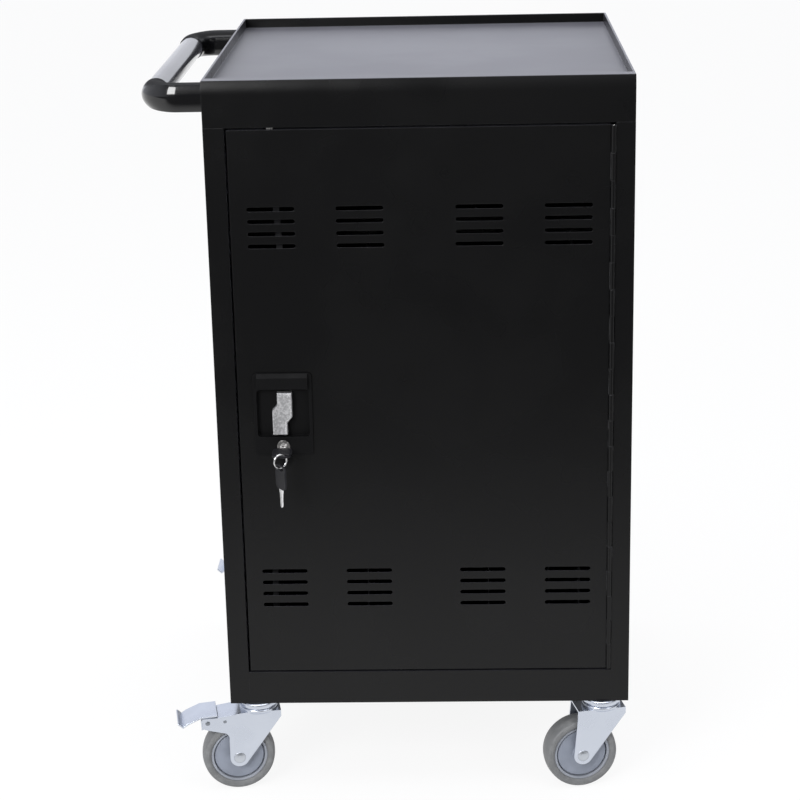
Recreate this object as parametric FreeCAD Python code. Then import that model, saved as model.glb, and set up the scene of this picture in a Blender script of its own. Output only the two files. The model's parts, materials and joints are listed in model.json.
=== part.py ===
"""Charging cart: steel cabinet on swivel casters, with a push handle, a slotted front door and a rod lock.

Millimetres, +Z up, +X to the right of a person facing the front door, +Y from the front to the rear.
The pieces are drawn about the cabinet: x from its middle, y from its front face, z from the floor.
They are then moved so that the origin lies on the floor under the middle of the whole cart.
"""
import FreeCAD, Part
import math
import os

V = FreeCAD.Vector

# Cabinet shell
WIDTH = 540.0
DEPTH = 572.0
BODY_BOTTOM = 130.0
BODY_HEIGHT = 849.0
SHEET = 1.5
COVER_DROP = 59.0
LIP_HEIGHT = 13.0
LIP_HEM = 3.0
RIM_DEPTH = 23.0
ROLL_DEPTH = 4.0
ROLL_DROP = 18.0
LEFT_POST = 26.5
RIGHT_POST = 24.0
POST_RETURN = 20.0
BOTTOM_RAIL = 46.0
RAIL_SETBACK = 24.0
RAIL_FLANGE = 30.0
RAIL_DROP = 25.0

# Doors
DOOR_SHEET = 1.2
DOOR_FOLD = 18.0
DOOR_GAP = 3.0
SLOT_LENGTH = 60.5
SLOT_HEIGHT = 5.8
SLOT_PITCH = 16.0
SLOTS_PER_GROUP = 4
SLOT_FROM_MIDDLE = 75.5
SLOT_FROM_EDGE = 51.75
SLOT_TOP_INSET = 125.0
SLOT_BOTTOM_INSET = 120.5

# Hinges
KNUCKLE_R = 3.0
KNUCKLE_PITCH = 36.0
HINGE_PIN_R = 1.5
LEAF_SHEET = 1.0
LEAF_DEPTH = 14.0
LEAF_TO_AXIS = 3.5
HINGE_PROUD = 1.0
KNUCKLE_GAP = 0.4
REAR_HINGE_HEIGHT = 81.0
REAR_HINGE_INSET = 110.0
RUNNING_GAP = 0.05

# Rod lock on the front door
LOCK_INSET = 86.4
LOCK_HEIGHT = 415.8
DISH_WIDTH = 76.0
DISH_TOP = 54.2
DISH_BOTTOM = 57.0
DISH_OFFSET = 1.1
DISH_PROUD = 3.0
DISH_CORNER = 5.0
DISH_WALL = 2.0
DISH_BACK = 7.0
POCKET_FLOOR = 5.0
POCKET_UP = 32.2
POCKET_DOWN = 32.2
HOOD_PROUD = 8.0
GRIP_FRONT = -6.0
GRIP_BACK = 4.0
GRIP_HALF_LENGTH = 28.7
GRIP_NARROW = 6.2
GRIP_WIDE = 12.9
GRIP_SHOULDER_LOW = 4.4
GRIP_SHOULDER_HIGH = 11.9
GRIP_BEVEL = 1.2
SPINDLE_R = 5.0
CAM_SHEET = 2.0
CAM_PIN_REACH = 20.0
CAM_PIN_R = 2.5
CAM_REST_ANGLE = -45.0
CAM_CLEARANCE = 0.5
ROD_WIDTH = 8.0
ROD_SHEET = 3.0
ROD_TIP_PROUD = 1.8
ROD_TOP_SHIFT = 3.4
ROD_BOTTOM_SHIFT = 21.4
ROD_HEAD_WIDTH = 21.0
ROD_HEAD_HEIGHT = 12.0
ROD_SLOT_ROOM = 1.0
GUIDE_WALL = 2.0
GUIDE_HEIGHT = 10.0
GUIDE_CLEARANCE = 0.4
GUIDE_FROM_CAM = 150.0
GUIDE_FROM_TIP = 50.0
STRIKE_ROOM = 2.5

# Key lock, keys and ring
PLUG_DROP = 45.1
PLUG_R = 8.3
PLUG_PROUD = 1.5
KEY_BLADE_WIDTH = 8.0
KEY_BLADE_SHEET = 2.0
KEY_BLADE_IN = 7.0
KEY_NECK = 9.0
KEY_HEAD_WIDTH = 25.0
KEY_HEAD_LENGTH = 33.5
KEY_HEAD_SHEET = 3.0
KEY_HEAD_CORNER = 7.0
KEY_SLOT_LENGTH = 17.0
KEY_SLOT_WIDTH = 5.0
KEY_RIM = 2.4
KEY_TIP_WIDTH = 3.6
SPARE_BLADE_LENGTH = 25.0
RING_R = 9.1
RING_WIRE_R = 0.9
RING_TURN = 34.0
RING_SHIFT = 1.2
RING_REST_GAP = 0.95

# Rear lock
REAR_LOCK_INSET = 40.0
REAR_LOCK_R = 9.0
REAR_LOCK_FLANGE_R = 12.0
REAR_LOCK_PROUD = 3.0
REAR_PLUG_R = 6.0
REAR_CAM_LENGTH = 45.0
REAR_CAM_WIDTH = 14.0
REAR_CAM_SHEET = 2.5
REAR_CAM_CLEARANCE = 0.5

# Inside
PARTITION_Y = 380.0
PARTITION_ROOM = 30.0
CABLE_SLOT_HEIGHT = 24.0
CABLE_SLOT_LENGTH = 90.0
CABLE_SLOTS = 4
LOWER_SHELF_HEIGHT = 50.0
UPPER_SHELF_DROP = 372.0
SHELF_FOLD = 20.0
SLOTS_PER_SHELF = 12
DIVIDER_SHEET = 1.2
DIVIDER_FRONT = 40.0
DIVIDER_BACK = 340.0
DIVIDER_HEIGHT = 160.0
DIVIDER_CORNER = 60.0
DIVIDER_HOLE_R = 22.0
STRIP_LENGTH = 440.0
STRIP_DEPTH = 40.0
STRIP_HEIGHT = 46.0
STRIP_EDGE = 3.0
STRIP_ABOVE_SHELF = 235.0
OUTLETS = 8
OUTLET_RECESS = 1.5
OUTLET_WIDTH = 32.0
OUTLET_HEIGHT = 28.0
BLADE_SLOT_WIDTH = 2.2
BLADE_SLOT_HEIGHT = 8.0
BLADE_SLOT_DEPTH = 12.0
BLADE_SPACING = 12.7
INLET_X = 180.0
INLET_WIDTH = 27.0
INLET_HEIGHT = 20.0
INLET_CORNER = 3.0
INLET_DEPTH = 26.0
INLET_FLANGE = 6.0
INLET_PROUD = 2.5
INLET_POCKET = 16.0
INLET_WALL = 2.0
INLET_PIN = (2.0, 9.0, 4.0)
INLET_PIN_SPACING = 7.0

# Push handle on the left side
HANDLE_REACH = 86.0
TUBE_R = 16.0
HANDLE_DROP = 27.5
HANDLE_FRONT = 36.0
HANDLE_LENGTH = 498.0
BRACKET_DEPTH = 34.0
BRACKET_ELBOW = 62.0
BRACKET_ROOT = 35.0
BRACKET_NOSE_R = 17.5
BRACKET_CORNER = 45.0
TUBE_SOCKET = 22.0
TUBE_WALL = 1.5

# Casters
CASTER_INSET_X = 35.5
CASTER_INSET_Y = 21.0
WHEEL_R = 50.0
TYRE_WIDTH = 32.0
TREAD_CROWN = 1.4
SHOULDER_DEPTH = 4.6
SHOULDER_WIDTH = 4.0
TYRE_BORE_R = 38.5
TRAIL = 30.0
AXLE_R = 4.0
AXLE_HEAD_R = 8.0
AXLE_HEAD = 2.0
HUB_BOSS_R = 12.0
HUB_BOSS_EDGE = 1.0
HUB_WEB = 11.0
HUB_GROOVE_R = 35.2
HUB_GROOVE = 1.6
HUB_RING_HALF = 13.0
WHEEL_SIDE_GAP = 2.0
FORK_SHEET = 2.5
FORK_END_R = 13.0
FORK_TOP = 117.0
FORK_FRONT = 29.0
FORK_BACK = 37.0
CREST_DROP = 9.0
LOWER_RACE_R = 26.0
UPPER_RACE_R = 27.0
RACE_GAP = 0.4
UPPER_RACE = 8.2
RACE_EDGE = 2.5
KINGPIN_R = 6.0
KINGPIN_HEAD_R = 9.0
KINGPIN_HEAD = 3.0
STEM_LENGTH = 14.0
NUT_FLATS = 17.0
NUT_HEIGHT = 9.0
LEAD_TURNS = {"front_left": 10.0, "front_right": 12.5}

# Brake pedals on the left casters
ARM_START = 22.0
ARM_WEB_END = 57.0
ARM_REACH = 79.0
ARM_TOP = 112.6
ARM_TIP_LOW = 98.0
ARM_HEEL = 71.0
ARM_HEEL_LOW = 94.7
ARM_KNEE = 47.0
ARM_KNEE_LOW = 88.0
ARM_KNEE_DROP = 11.0
PEDAL_PIVOT_X = -71.5
PEDAL_PIVOT_Z = 105.5
PEDAL_PIN_R = 2.5
PEDAL_PIN_HEAD_R = 4.0
PEDAL_PIN_HEAD = 1.0
PEDAL_SHEET = 2.0
PEDAL_WIDTH = 46.0
PEDAL_HEEL = 58.0
PEDAL_HEEL_TOP = 117.5
PEDAL_BEND = 80.0
PEDAL_BEND_TOP = 116.5
PEDAL_SLOPE = 99.0
PEDAL_SLOPE_TOP = 108.5
PEDAL_VALLEY = 105.0
PEDAL_VALLEY_TOP = 104.5
PEDAL_REACH = 111.0
PEDAL_TIP_TOP = 110.0
CHEEK_GAP = 0.5
CHEEK_R = 7.0
SHOE_GAP = 4.5
SHOE_FRONT = 80.0
SHOE_FRONT_LOW = 93.5
SHOE_BACK = 67.0
SHOE_BACK_LOW = 97.5
SHOE_TOP = 108.0

# Lines that several pieces share
LEFT = -WIDTH / 2
RIGHT = WIDTH / 2
TOP = BODY_BOTTOM + BODY_HEIGHT
SEAM = TOP - COVER_DROP
TRAY_UNDERSIDE = TOP - LIP_HEIGHT - SHEET
OPEN_LEFT = LEFT + LEFT_POST
OPEN_RIGHT = RIGHT - RIGHT_POST
OPEN_BOTTOM = BODY_BOTTOM + BOTTOM_RAIL
INNER_LEFT = LEFT + SHEET
INNER_RIGHT = RIGHT - SHEET
HINGE_X = OPEN_RIGHT - LEAF_TO_AXIS
DOOR_LEFT = OPEN_LEFT + DOOR_GAP
DOOR_RIGHT = HINGE_X - LEAF_TO_AXIS
DOOR_BOTTOM = OPEN_BOTTOM + DOOR_GAP
DOOR_TOP = SEAM - DOOR_GAP
LOCK_X = LEFT + LOCK_INSET
LOCK_Z = BODY_BOTTOM + LOCK_HEIGHT
DISH_X = LOCK_X + DISH_OFFSET
CAM_FRONT = DISH_BACK + CAM_CLEARANCE
ROD_FRONT = CAM_FRONT + CAM_SHEET + CAM_CLEARANCE
ROD_TOP_X = LOCK_X - ROD_TOP_SHIFT
ROD_BOTTOM_X = LOCK_X - ROD_BOTTOM_SHIFT
PLUG_Z = LOCK_Z - PLUG_DROP
PLUG_FACE = -DISH_PROUD - PLUG_PROUD
KEY_FRONT = PLUG_FACE - KEY_NECK - KEY_HEAD_LENGTH
RING_DIR = V(math.cos(math.radians(RING_TURN)), math.sin(math.radians(RING_TURN)), 0)
RING_TOP_Z = PLUG_Z + KEY_HEAD_SHEET / 2 + RING_REST_GAP + RING_WIRE_R
RING_TOP = V(LOCK_X - RING_SHIFT, KEY_FRONT + KEY_RIM / 2, RING_TOP_Z)
RING_BOTTOM = RING_TOP - V(0, 0, 2 * RING_R)
SPARE_REACH = (KEY_HEAD_WIDTH * RING_DIR.x + KEY_HEAD_SHEET * RING_DIR.y) / 2
FRONT_REACH = SPARE_REACH - RING_TOP.y
REAR_REACH = max(REAR_LOCK_PROUD, UPPER_RACE_R - CASTER_INSET_Y)
LOWER_SHELF_Z = BODY_BOTTOM + LOWER_SHELF_HEIGHT
UPPER_SHELF_Z = SEAM - UPPER_SHELF_DROP
FORK_INSIDE = TYRE_WIDTH / 2 + WHEEL_SIDE_GAP
FORK_OUTSIDE = FORK_INSIDE + FORK_SHEET
TOUCH = 1e-6
ORIGIN = V(HANDLE_REACH / 2, (FRONT_REACH - REAR_REACH - DEPTH) / 2, 0)


def lift(plane, a, b, c):
    """Point with drawing coordinates a, b in a plane, at c along the plane's normal."""
    return {"xy": V(a, b, c), "xz": V(a, c, b), "yz": V(c, a, b)}[plane]


def outline(steps, plane, level):
    """Flat face inside closed steps: each is a point, or the middle and end of an arc."""
    edges = []
    here = steps[0]
    for step in list(steps[1:]) + [steps[0]]:
        if isinstance(step[0], tuple):
            middle, end = step
            ends = [lift(plane, *p, level) for p in (here, middle, end)]
            edges.append(Part.Arc(*ends).toShape())
        else:
            end = step
            if math.dist(here, end) > TOUCH:
                edges.append(Part.makeLine(lift(plane, *here, level), lift(plane, *end, level)))
        here = end
    return Part.Face(Part.Wire(edges))


def prism(steps, plane, start, end):
    """Solid of an outline drawn out from start to end along the plane's normal."""
    return outline(steps, plane, start).extrude(lift(plane, 0, 0, end - start))


def turned(steps, centre, axis):
    """Solid of revolution: steps are (radius, distance along the axis) from centre."""
    solid = outline(steps, "xz", 0).revolve(V(0, 0, 0), V(0, 0, 1), 360)
    solid.Placement = FreeCAD.Placement(centre, FreeCAD.Rotation(V(0, 0, 1), axis))
    return solid


def block(x, y, z):
    """Box between pairs of limits."""
    return Part.makeBox(x[1] - x[0], y[1] - y[0], z[1] - z[0], V(x[0], y[0], z[0]))


def rod(radius, start, end):
    """Round bar between two points."""
    return Part.makeCylinder(radius, (end - start).Length, start, end - start)


def joined(first, *others):
    """One solid of pieces that meet."""
    return first.fuse(list(others)).removeSplitter()


def folded(run, thickness):
    """Outline of a sheet folded along an open run of points, thickened to the right of the run."""
    normals = []
    for (x0, y0), (x1, y1) in zip(run, run[1:]):
        length = math.hypot(x1 - x0, y1 - y0)
        normals.append(((y1 - y0) / length, (x0 - x1) / length))
    inner = []
    for i, (x, y) in enumerate(run):
        ax, ay = normals[max(i - 1, 0)]
        bx, by = normals[min(i, len(normals) - 1)]
        reach = thickness / (1 + ax * bx + ay * by)
        inner.append((x + (ax + bx) * reach, y + (ay + by) * reach))
    return list(run) + inner[::-1]


def rounded(x0, x1, z0, z1, r):
    """Steps of a rectangle with round corners."""
    k = r * (1 - math.sqrt(0.5))
    return [
        (x0 + r, z0),
        (x1 - r, z0),
        ((x1 - k, z0 + k), (x1, z0 + r)),
        (x1, z1 - r),
        ((x1 - k, z1 - k), (x1 - r, z1)),
        (x0 + r, z1),
        ((x0 + k, z1 - k), (x0, z1 - r)),
        (x0, z0 + r),
        ((x0 + k, z0 + k), (x0 + r, z0)),
    ]


def obround(x, z, length, height):
    """Steps of a slot with round ends."""
    r = height / 2
    a = length / 2 - r
    return [
        (x - a, z - r),
        (x + a, z - r),
        ((x + a + r, z), (x + a, z + r)),
        (x - a, z + r),
        ((x - a - r, z), (x - a, z - r)),
    ]


def tangent_point(point, centre, radius, side):
    """Where the line from a point touches a circle, on its left (1) or right (-1) seen from the point."""
    dx, dz = centre[0] - point[0], centre[1] - point[1]
    span = math.hypot(dx, dz)
    turn = math.atan2(dz, dx) + side * math.asin(radius / span)
    reach = math.sqrt(span * span - radius * radius)
    return point[0] + reach * math.cos(turn), point[1] + reach * math.sin(turn)


def save(name, *solids):
    """Write one node in the cart's own frame."""
    shape = solids[0] if len(solids) == 1 else Part.makeCompound(list(solids))
    shape.translated(ORIGIN).exportStep("parts/%s.step" % name)


def side_panel(sign, post):
    """Lipped C section of one side: skin, front and rear post faces, and their returns."""
    edge = sign * (WIDTH / 2 - post)
    skin = sign * WIDTH / 2
    run = [(edge, POST_RETURN), (edge, 0), (skin, 0), (skin, DEPTH), (edge, DEPTH)]
    run.append((edge, DEPTH - POST_RETURN))
    if sign > 0:
        run.reverse()
    return prism(folded(run, SHEET), "xy", BODY_BOTTOM, SEAM)


def rod_hole(x, z0, z1):
    """Cutter for the hole that a lock rod passes through in a folded edge."""
    half = ROD_WIDTH / 2 + STRIKE_ROOM
    middle = ROD_FRONT + ROD_SHEET / 2
    depth = ROD_SHEET / 2 + STRIKE_ROOM
    return block((x - half, x + half), (middle - depth, middle + depth), (z0, z1))


def base_pan():
    """Floor with a front and a rear rail folded up from it, and holes for caster stems and the inlet."""
    run = [(POST_RETURN, OPEN_BOTTOM), (0, OPEN_BOTTOM), (0, BODY_BOTTOM), (DEPTH, BODY_BOTTOM)]
    run += [(DEPTH, OPEN_BOTTOM), (DEPTH - POST_RETURN, OPEN_BOTTOM)]
    pan = prism(folded(run[::-1], SHEET), "yz", OPEN_LEFT, OPEN_RIGHT)
    span = (POST_RETURN, DEPTH - POST_RETURN)
    pan = joined(pan, block((INNER_LEFT, INNER_RIGHT), span, (BODY_BOTTOM, BODY_BOTTOM + SHEET)))
    cuts = [rod_hole(ROD_BOTTOM_X, OPEN_BOTTOM - 2 * SHEET, OPEN_BOTTOM + SHEET)]
    for x, y in caster_places().values():
        cuts.append(rod(KINGPIN_R, V(x, y, BODY_BOTTOM - SHEET), V(x, y, BODY_BOTTOM + 2 * SHEET)))
    cuts.append(prism(inlet_outline(0), "xz", DEPTH - 2 * SHEET, DEPTH + SHEET))
    return pan.cut(cuts)


def top_cover():
    """Tray with hemmed lips and a flat front rim that rolls over into a deep apron on the side panels."""
    radius = (ROLL_DEPTH ** 2 + ROLL_DROP ** 2) / (2 * ROLL_DEPTH)
    half_turn = math.asin(ROLL_DROP / radius) / 2
    bend = (radius * (1 - math.cos(half_turn)), TOP - ROLL_DROP + radius * math.sin(half_turn))
    shell = prism(
        [(0, SEAM), (0, TOP - ROLL_DROP), (bend, (ROLL_DEPTH, TOP)), (DEPTH, TOP), (DEPTH, SEAM)],
        "yz", LEFT, RIGHT,
    )
    tray = block(
        (LEFT + LIP_HEM, RIGHT - LIP_HEM), (RIM_DEPTH, DEPTH - LIP_HEM), (TOP - LIP_HEIGHT, TOP + LIP_HEM)
    )
    under = prism(
        [
            (SHEET, SEAM - SHEET),
            (SHEET, TOP - ROLL_DROP),
            (ROLL_DEPTH + SHEET, TOP - SHEET),
            (RIM_DEPTH - LIP_HEM, TOP - SHEET),
            (RIM_DEPTH - LIP_HEM, TRAY_UNDERSIDE),
            (DEPTH - SHEET, TRAY_UNDERSIDE),
            (DEPTH - SHEET, SEAM - SHEET),
        ],
        "yz", INNER_LEFT, INNER_RIGHT,
    )
    strike = block((OPEN_LEFT, OPEN_RIGHT), (0, DOOR_FOLD), (SEAM, SEAM + SHEET))
    cover = joined(shell.cut([tray, under]), strike)
    return cover.cut(rod_hole(ROD_TOP_X, SEAM - SHEET, SEAM + 2 * SHEET))


def cross_rails():
    """Front and rear channels that join the sides at the top and carry the tray."""
    bottom = SEAM - RAIL_DROP
    rails = []
    for start, sign in ((RAIL_SETBACK, 1), (DEPTH - RAIL_SETBACK, -1)):
        run = [(start + sign * RAIL_FLANGE, TRAY_UNDERSIDE), (start, TRAY_UNDERSIDE)]
        run += [(start, bottom), (start + sign * RAIL_FLANGE / 2, bottom)]
        if sign > 0:
            run.reverse()
        rails.append(prism(folded(run, SHEET), "yz", INNER_LEFT, INNER_RIGHT))
    return rails


def slot_cutters(y0, y1, columns):
    """Cutters for the ventilation slots: a group near the top and near the bottom of each column."""
    cutters = []
    for x in columns:
        for centre in (DOOR_BOTTOM + SLOT_BOTTOM_INSET, DOOR_TOP - SLOT_TOP_INSET):
            for i in range(SLOTS_PER_GROUP):
                z = centre + (i - (SLOTS_PER_GROUP - 1) / 2) * SLOT_PITCH
                cutters.append(prism(obround(x, z, SLOT_LENGTH, SLOT_HEIGHT), "xz", y0, y1))
    return cutters


def inner_columns():
    """Middles of the two slot columns beside the door's middle."""
    middle = (DOOR_LEFT + DOOR_RIGHT) / 2
    return [middle - SLOT_FROM_MIDDLE, middle + SLOT_FROM_MIDDLE]


def door_pan(front, sign):
    """Flat door skin with folded edges. Sign points from the face into the cabinet along Y."""
    back = front + sign * DOOR_FOLD
    skin = front + sign * DOOR_SHEET
    outer = block((DOOR_LEFT, DOOR_RIGHT), sorted((front, back)), (DOOR_BOTTOM, DOOR_TOP))
    hollow = block(
        (DOOR_LEFT + DOOR_SHEET, DOOR_RIGHT - DOOR_SHEET),
        sorted((skin, back + sign * DOOR_FOLD)),
        (DOOR_BOTTOM + DOOR_SHEET, DOOR_TOP - DOOR_SHEET),
    )
    return outer.cut(hollow)


def front_door():
    """Front door with its slots, lock cut-out and rod holes."""
    columns = [DOOR_LEFT + SLOT_FROM_EDGE, *inner_columns(), DOOR_RIGHT - SLOT_FROM_EDGE]
    cuts = slot_cutters(-DOOR_SHEET, 2 * DOOR_SHEET, columns)
    cuts.append(prism(dish_housing(), "xz", -DOOR_SHEET, 2 * DOOR_SHEET))
    cuts.append(rod_hole(ROD_TOP_X, DOOR_TOP - 2 * DOOR_SHEET, DOOR_TOP + DOOR_SHEET))
    cuts.append(rod_hole(ROD_BOTTOM_X, DOOR_BOTTOM - DOOR_SHEET, DOOR_BOTTOM + 2 * DOOR_SHEET))
    return door_pan(0, 1).cut(cuts)


def rear_door():
    """Rear service door with its slots and lock hole."""
    cuts = slot_cutters(DEPTH - 2 * DOOR_SHEET, DEPTH + DOOR_SHEET, inner_columns())
    x, z = rear_lock_place()
    cuts.append(rod(REAR_LOCK_R, V(x, DEPTH - DOOR_FOLD, z), V(x, DEPTH + DOOR_SHEET, z)))
    return door_pan(DEPTH, -1).cut(cuts)


def hinge(y_axis, sign, z0, z1):
    """Frame leaf, door leaf and pin of a rolled hinge between two heights. Sign points into the cabinet."""
    count = 2 * round((z1 - z0) / KNUCKLE_PITCH / 2 - 0.5) + 1
    pitch = (z1 - z0) / count
    leaves = []
    for side, first in ((1, 0), (-1, 1)):
        outer = HINGE_X + side * LEAF_TO_AXIS
        inner = outer - side * LEAF_SHEET
        root = y_axis + sign * (KNUCKLE_R + KNUCKLE_GAP)
        leaf = block(sorted((inner, outer)), sorted((root, y_axis + sign * LEAF_DEPTH)), (z0, z1))
        knuckles = []
        for i in range(first, count, 2):
            low = z0 + i * pitch + KNUCKLE_GAP / 2
            high = low + pitch - KNUCKLE_GAP
            knuckles.append(rod(KNUCKLE_R, V(HINGE_X, y_axis, low), V(HINGE_X, y_axis, high)))
            knuckles.append(block(sorted((inner, outer)), sorted((y_axis, root)), (low, high)))
        bore = rod(HINGE_PIN_R + RUNNING_GAP, V(HINGE_X, y_axis, z0), V(HINGE_X, y_axis, z1))
        leaves.append(joined(leaf, *knuckles).cut(bore))
    pin = rod(HINGE_PIN_R, V(HINGE_X, y_axis, z0), V(HINGE_X, y_axis, z1))
    return leaves[0], leaves[1], pin


def dish_housing():
    """Outline of the lock dish's body behind the door face."""
    half = DISH_WIDTH / 2 - DISH_WALL
    low, high = LOCK_Z - DISH_BOTTOM + DISH_WALL, LOCK_Z + DISH_TOP - DISH_WALL
    return rounded(DISH_X - half, DISH_X + half, low, high, DISH_CORNER)


def lock_dish():
    """Moulded dish: bezel on the door face, finger pocket, overhanging hood and a boss for the key plug."""
    half = DISH_WIDTH / 2
    low, high = LOCK_Z - DISH_BOTTOM, LOCK_Z + DISH_TOP
    bezel = prism(rounded(DISH_X - half, DISH_X + half, low, high, DISH_CORNER), "xz", -DISH_PROUD, 0)
    body = prism(dish_housing(), "xz", 0, DISH_BACK)
    lip = LOCK_Z + POCKET_UP
    profile = [(-DISH_PROUD, lip), (-HOOD_PROUD, lip + DISH_WALL)]
    profile += [(-HOOD_PROUD, high - DISH_CORNER), (-DISH_PROUD, high)]
    hood = prism(profile, "yz", DISH_X - half + DISH_CORNER, DISH_X + half - DISH_CORNER)
    side = half - 2 * DISH_WALL
    pocket_outline = rounded(DISH_X - side, DISH_X + side, LOCK_Z - POCKET_DOWN, lip, DISH_CORNER)
    pocket = prism(pocket_outline, "xz", -DISH_PROUD, POCKET_FLOOR)
    spindle = rod(SPINDLE_R + RUNNING_GAP, V(LOCK_X, 0, LOCK_Z), V(LOCK_X, DISH_BACK, LOCK_Z))
    plug = rod(PLUG_R + RUNNING_GAP, V(LOCK_X, -DISH_PROUD, PLUG_Z), V(LOCK_X, DISH_BACK, PLUG_Z))
    return joined(bezel, body, hood).cut([pocket, spindle, plug])


def turn_handle():
    """Cranked bar that turns in the dish, with the spindle that carries the cam."""
    long, narrow, wide = GRIP_HALF_LENGTH, GRIP_NARROW, GRIP_WIDE
    half = [(-narrow, long), (wide, long), (wide, -GRIP_SHOULDER_LOW), (narrow, -GRIP_SHOULDER_HIGH)]
    points = half + [(-x, -z) for x, z in half]
    steps = [(LOCK_X + x, LOCK_Z + z) for x, z in points]
    bar = prism(steps, "xz", GRIP_FRONT, GRIP_BACK)
    front = [e for e in bar.Edges if all(abs(v.Point.y - GRIP_FRONT) < TOUCH for v in e.Vertexes)]
    bar = bar.makeChamfer(GRIP_BEVEL, front)
    spindle = rod(SPINDLE_R, V(LOCK_X, GRIP_BACK, LOCK_Z), V(LOCK_X, CAM_FRONT, LOCK_Z))
    return joined(bar, spindle)


def cam_pin_places():
    """Centres of the cam's two pins at rest: for the upper rod and for the lower rod."""
    turn = math.radians(CAM_REST_ANGLE)
    dx, dz = CAM_PIN_REACH * math.cos(turn), CAM_PIN_REACH * math.sin(turn)
    return (LOCK_X + dx, LOCK_Z + dz), (LOCK_X - dx, LOCK_Z - dz)


def lock_cam():
    """Two-armed plate on the spindle, with a pin for each rod."""
    arms = obround(LOCK_X, LOCK_Z, 2 * CAM_PIN_REACH + 4 * CAM_PIN_R, 4 * CAM_PIN_R)
    plate = prism(arms, "xz", CAM_FRONT, CAM_FRONT + CAM_SHEET)
    plate.rotate(V(LOCK_X, 0, LOCK_Z), V(0, -1, 0), CAM_REST_ANGLE)
    hub = rod(2 * SPINDLE_R, V(LOCK_X, CAM_FRONT, LOCK_Z), V(LOCK_X, CAM_FRONT + CAM_SHEET, LOCK_Z))
    pins = []
    for x, z in cam_pin_places():
        back = ROD_FRONT + ROD_SHEET
        pins.append(rod(CAM_PIN_R, V(x, CAM_FRONT, z), V(x, back, z)))
    return joined(plate, hub, *pins)


def rod_frame(start, tip_x, tip_z):
    """Length and lean of a rod from its cam pin to its tip."""
    dx, dz = tip_x - start[0], tip_z - start[1]
    return math.hypot(dx, dz), math.degrees(math.atan2(dx, dz))


def lock_rod(start, tip_x, tip_z, slot_side):
    """Flat bar with a slotted head over its cam pin, drawn upright from the pin and then leaned."""
    length, lean = rod_frame(start, tip_x, tip_z)
    y0, y1 = ROD_FRONT, ROD_FRONT + ROD_SHEET
    drift = CAM_PIN_REACH * (1 - math.cos(math.radians(CAM_REST_ANGLE)))
    middle = slot_side * drift / 2
    half_w, half_h = ROD_HEAD_WIDTH / 2, ROD_HEAD_HEIGHT / 2
    head = prism(rounded(middle - half_w, middle + half_w, -half_h, half_h, ROD_WIDTH / 4), "xz", y0, y1)
    bar = block((-ROD_WIDTH / 2, ROD_WIDTH / 2), (y0, y1), (0, length))
    opening = 2 * (CAM_PIN_R + ROD_SLOT_ROOM)
    slot = prism(obround(middle, 0, drift + opening + 2 * ROD_SLOT_ROOM, opening), "xz", y0, y1)
    solid = joined(head, bar).cut(slot)
    solid.rotate(V(0, 0, 0), V(0, 1, 0), lean)
    solid.translate(V(start[0], 0, start[1]))
    return solid


def rod_guides(start, tip_x, tip_z):
    """Bridge clips on the door skin that a rod slides through, one near the cam and one near the tip."""
    length, lean = rod_frame(start, tip_x, tip_z)
    half = ROD_WIDTH / 2 + GUIDE_CLEARANCE
    y0, y1 = ROD_FRONT - GUIDE_CLEARANCE, ROD_FRONT + ROD_SHEET + GUIDE_CLEARANCE
    guides = []
    for distance in (GUIDE_FROM_CAM, length - GUIDE_FROM_TIP - GUIDE_HEIGHT):
        span = (distance, distance + GUIDE_HEIGHT)
        bridge = block((-half - GUIDE_WALL, half + GUIDE_WALL), (DOOR_SHEET, y1 + GUIDE_WALL), span)
        bridge = bridge.cut(block((-half, half), (y0, y1), span))
        bridge.rotate(V(0, 0, 0), V(0, 1, 0), lean)
        bridge.translate(V(start[0], 0, start[1]))
        guides.append(bridge)
    return guides


def lock_plug():
    """Key plug with a keyway that lies level at rest."""
    plug = rod(PLUG_R, V(LOCK_X, PLUG_FACE, PLUG_Z), V(LOCK_X, DISH_BACK, PLUG_Z))
    half_w, half_t = KEY_BLADE_WIDTH / 2 + RUNNING_GAP, KEY_BLADE_SHEET / 2 + RUNNING_GAP
    keyway = block(
        (LOCK_X - half_w, LOCK_X + half_w),
        (PLUG_FACE, PLUG_FACE + KEY_BLADE_IN),
        (PLUG_Z - half_t, PLUG_Z + half_t),
    )
    return plug.cut(keyway)


def key_shape(blade):
    """Key drawn flat: head from its ring end along +Y, with a ring slot, then a blade of the given length."""
    half, t = KEY_HEAD_WIDTH / 2, KEY_HEAD_SHEET / 2
    head = prism(rounded(-half, half, 0, KEY_HEAD_LENGTH, KEY_HEAD_CORNER), "xy", -t, t)
    slot = prism(obround(0, KEY_RIM + KEY_SLOT_WIDTH / 2, KEY_SLOT_LENGTH, KEY_SLOT_WIDTH), "xy", -t, t)
    return joined(head.cut(slot), blade)


def door_key():
    """Key in the plug, with its head level."""
    half, t = KEY_BLADE_WIDTH / 2, KEY_BLADE_SHEET / 2
    end = KEY_HEAD_LENGTH + KEY_NECK + KEY_BLADE_IN
    key = key_shape(block((-half, half), (KEY_HEAD_LENGTH - KEY_RIM, end), (-t, t)))
    key.translate(V(LOCK_X, KEY_FRONT, PLUG_Z))
    return key


def split_ring():
    """Ring of round wire that hangs over the rim of the key's head."""
    return Part.makeTorus(RING_R, RING_WIRE_R, RING_TOP - V(0, 0, RING_R), RING_DIR.cross(V(0, 0, 1)))


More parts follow.
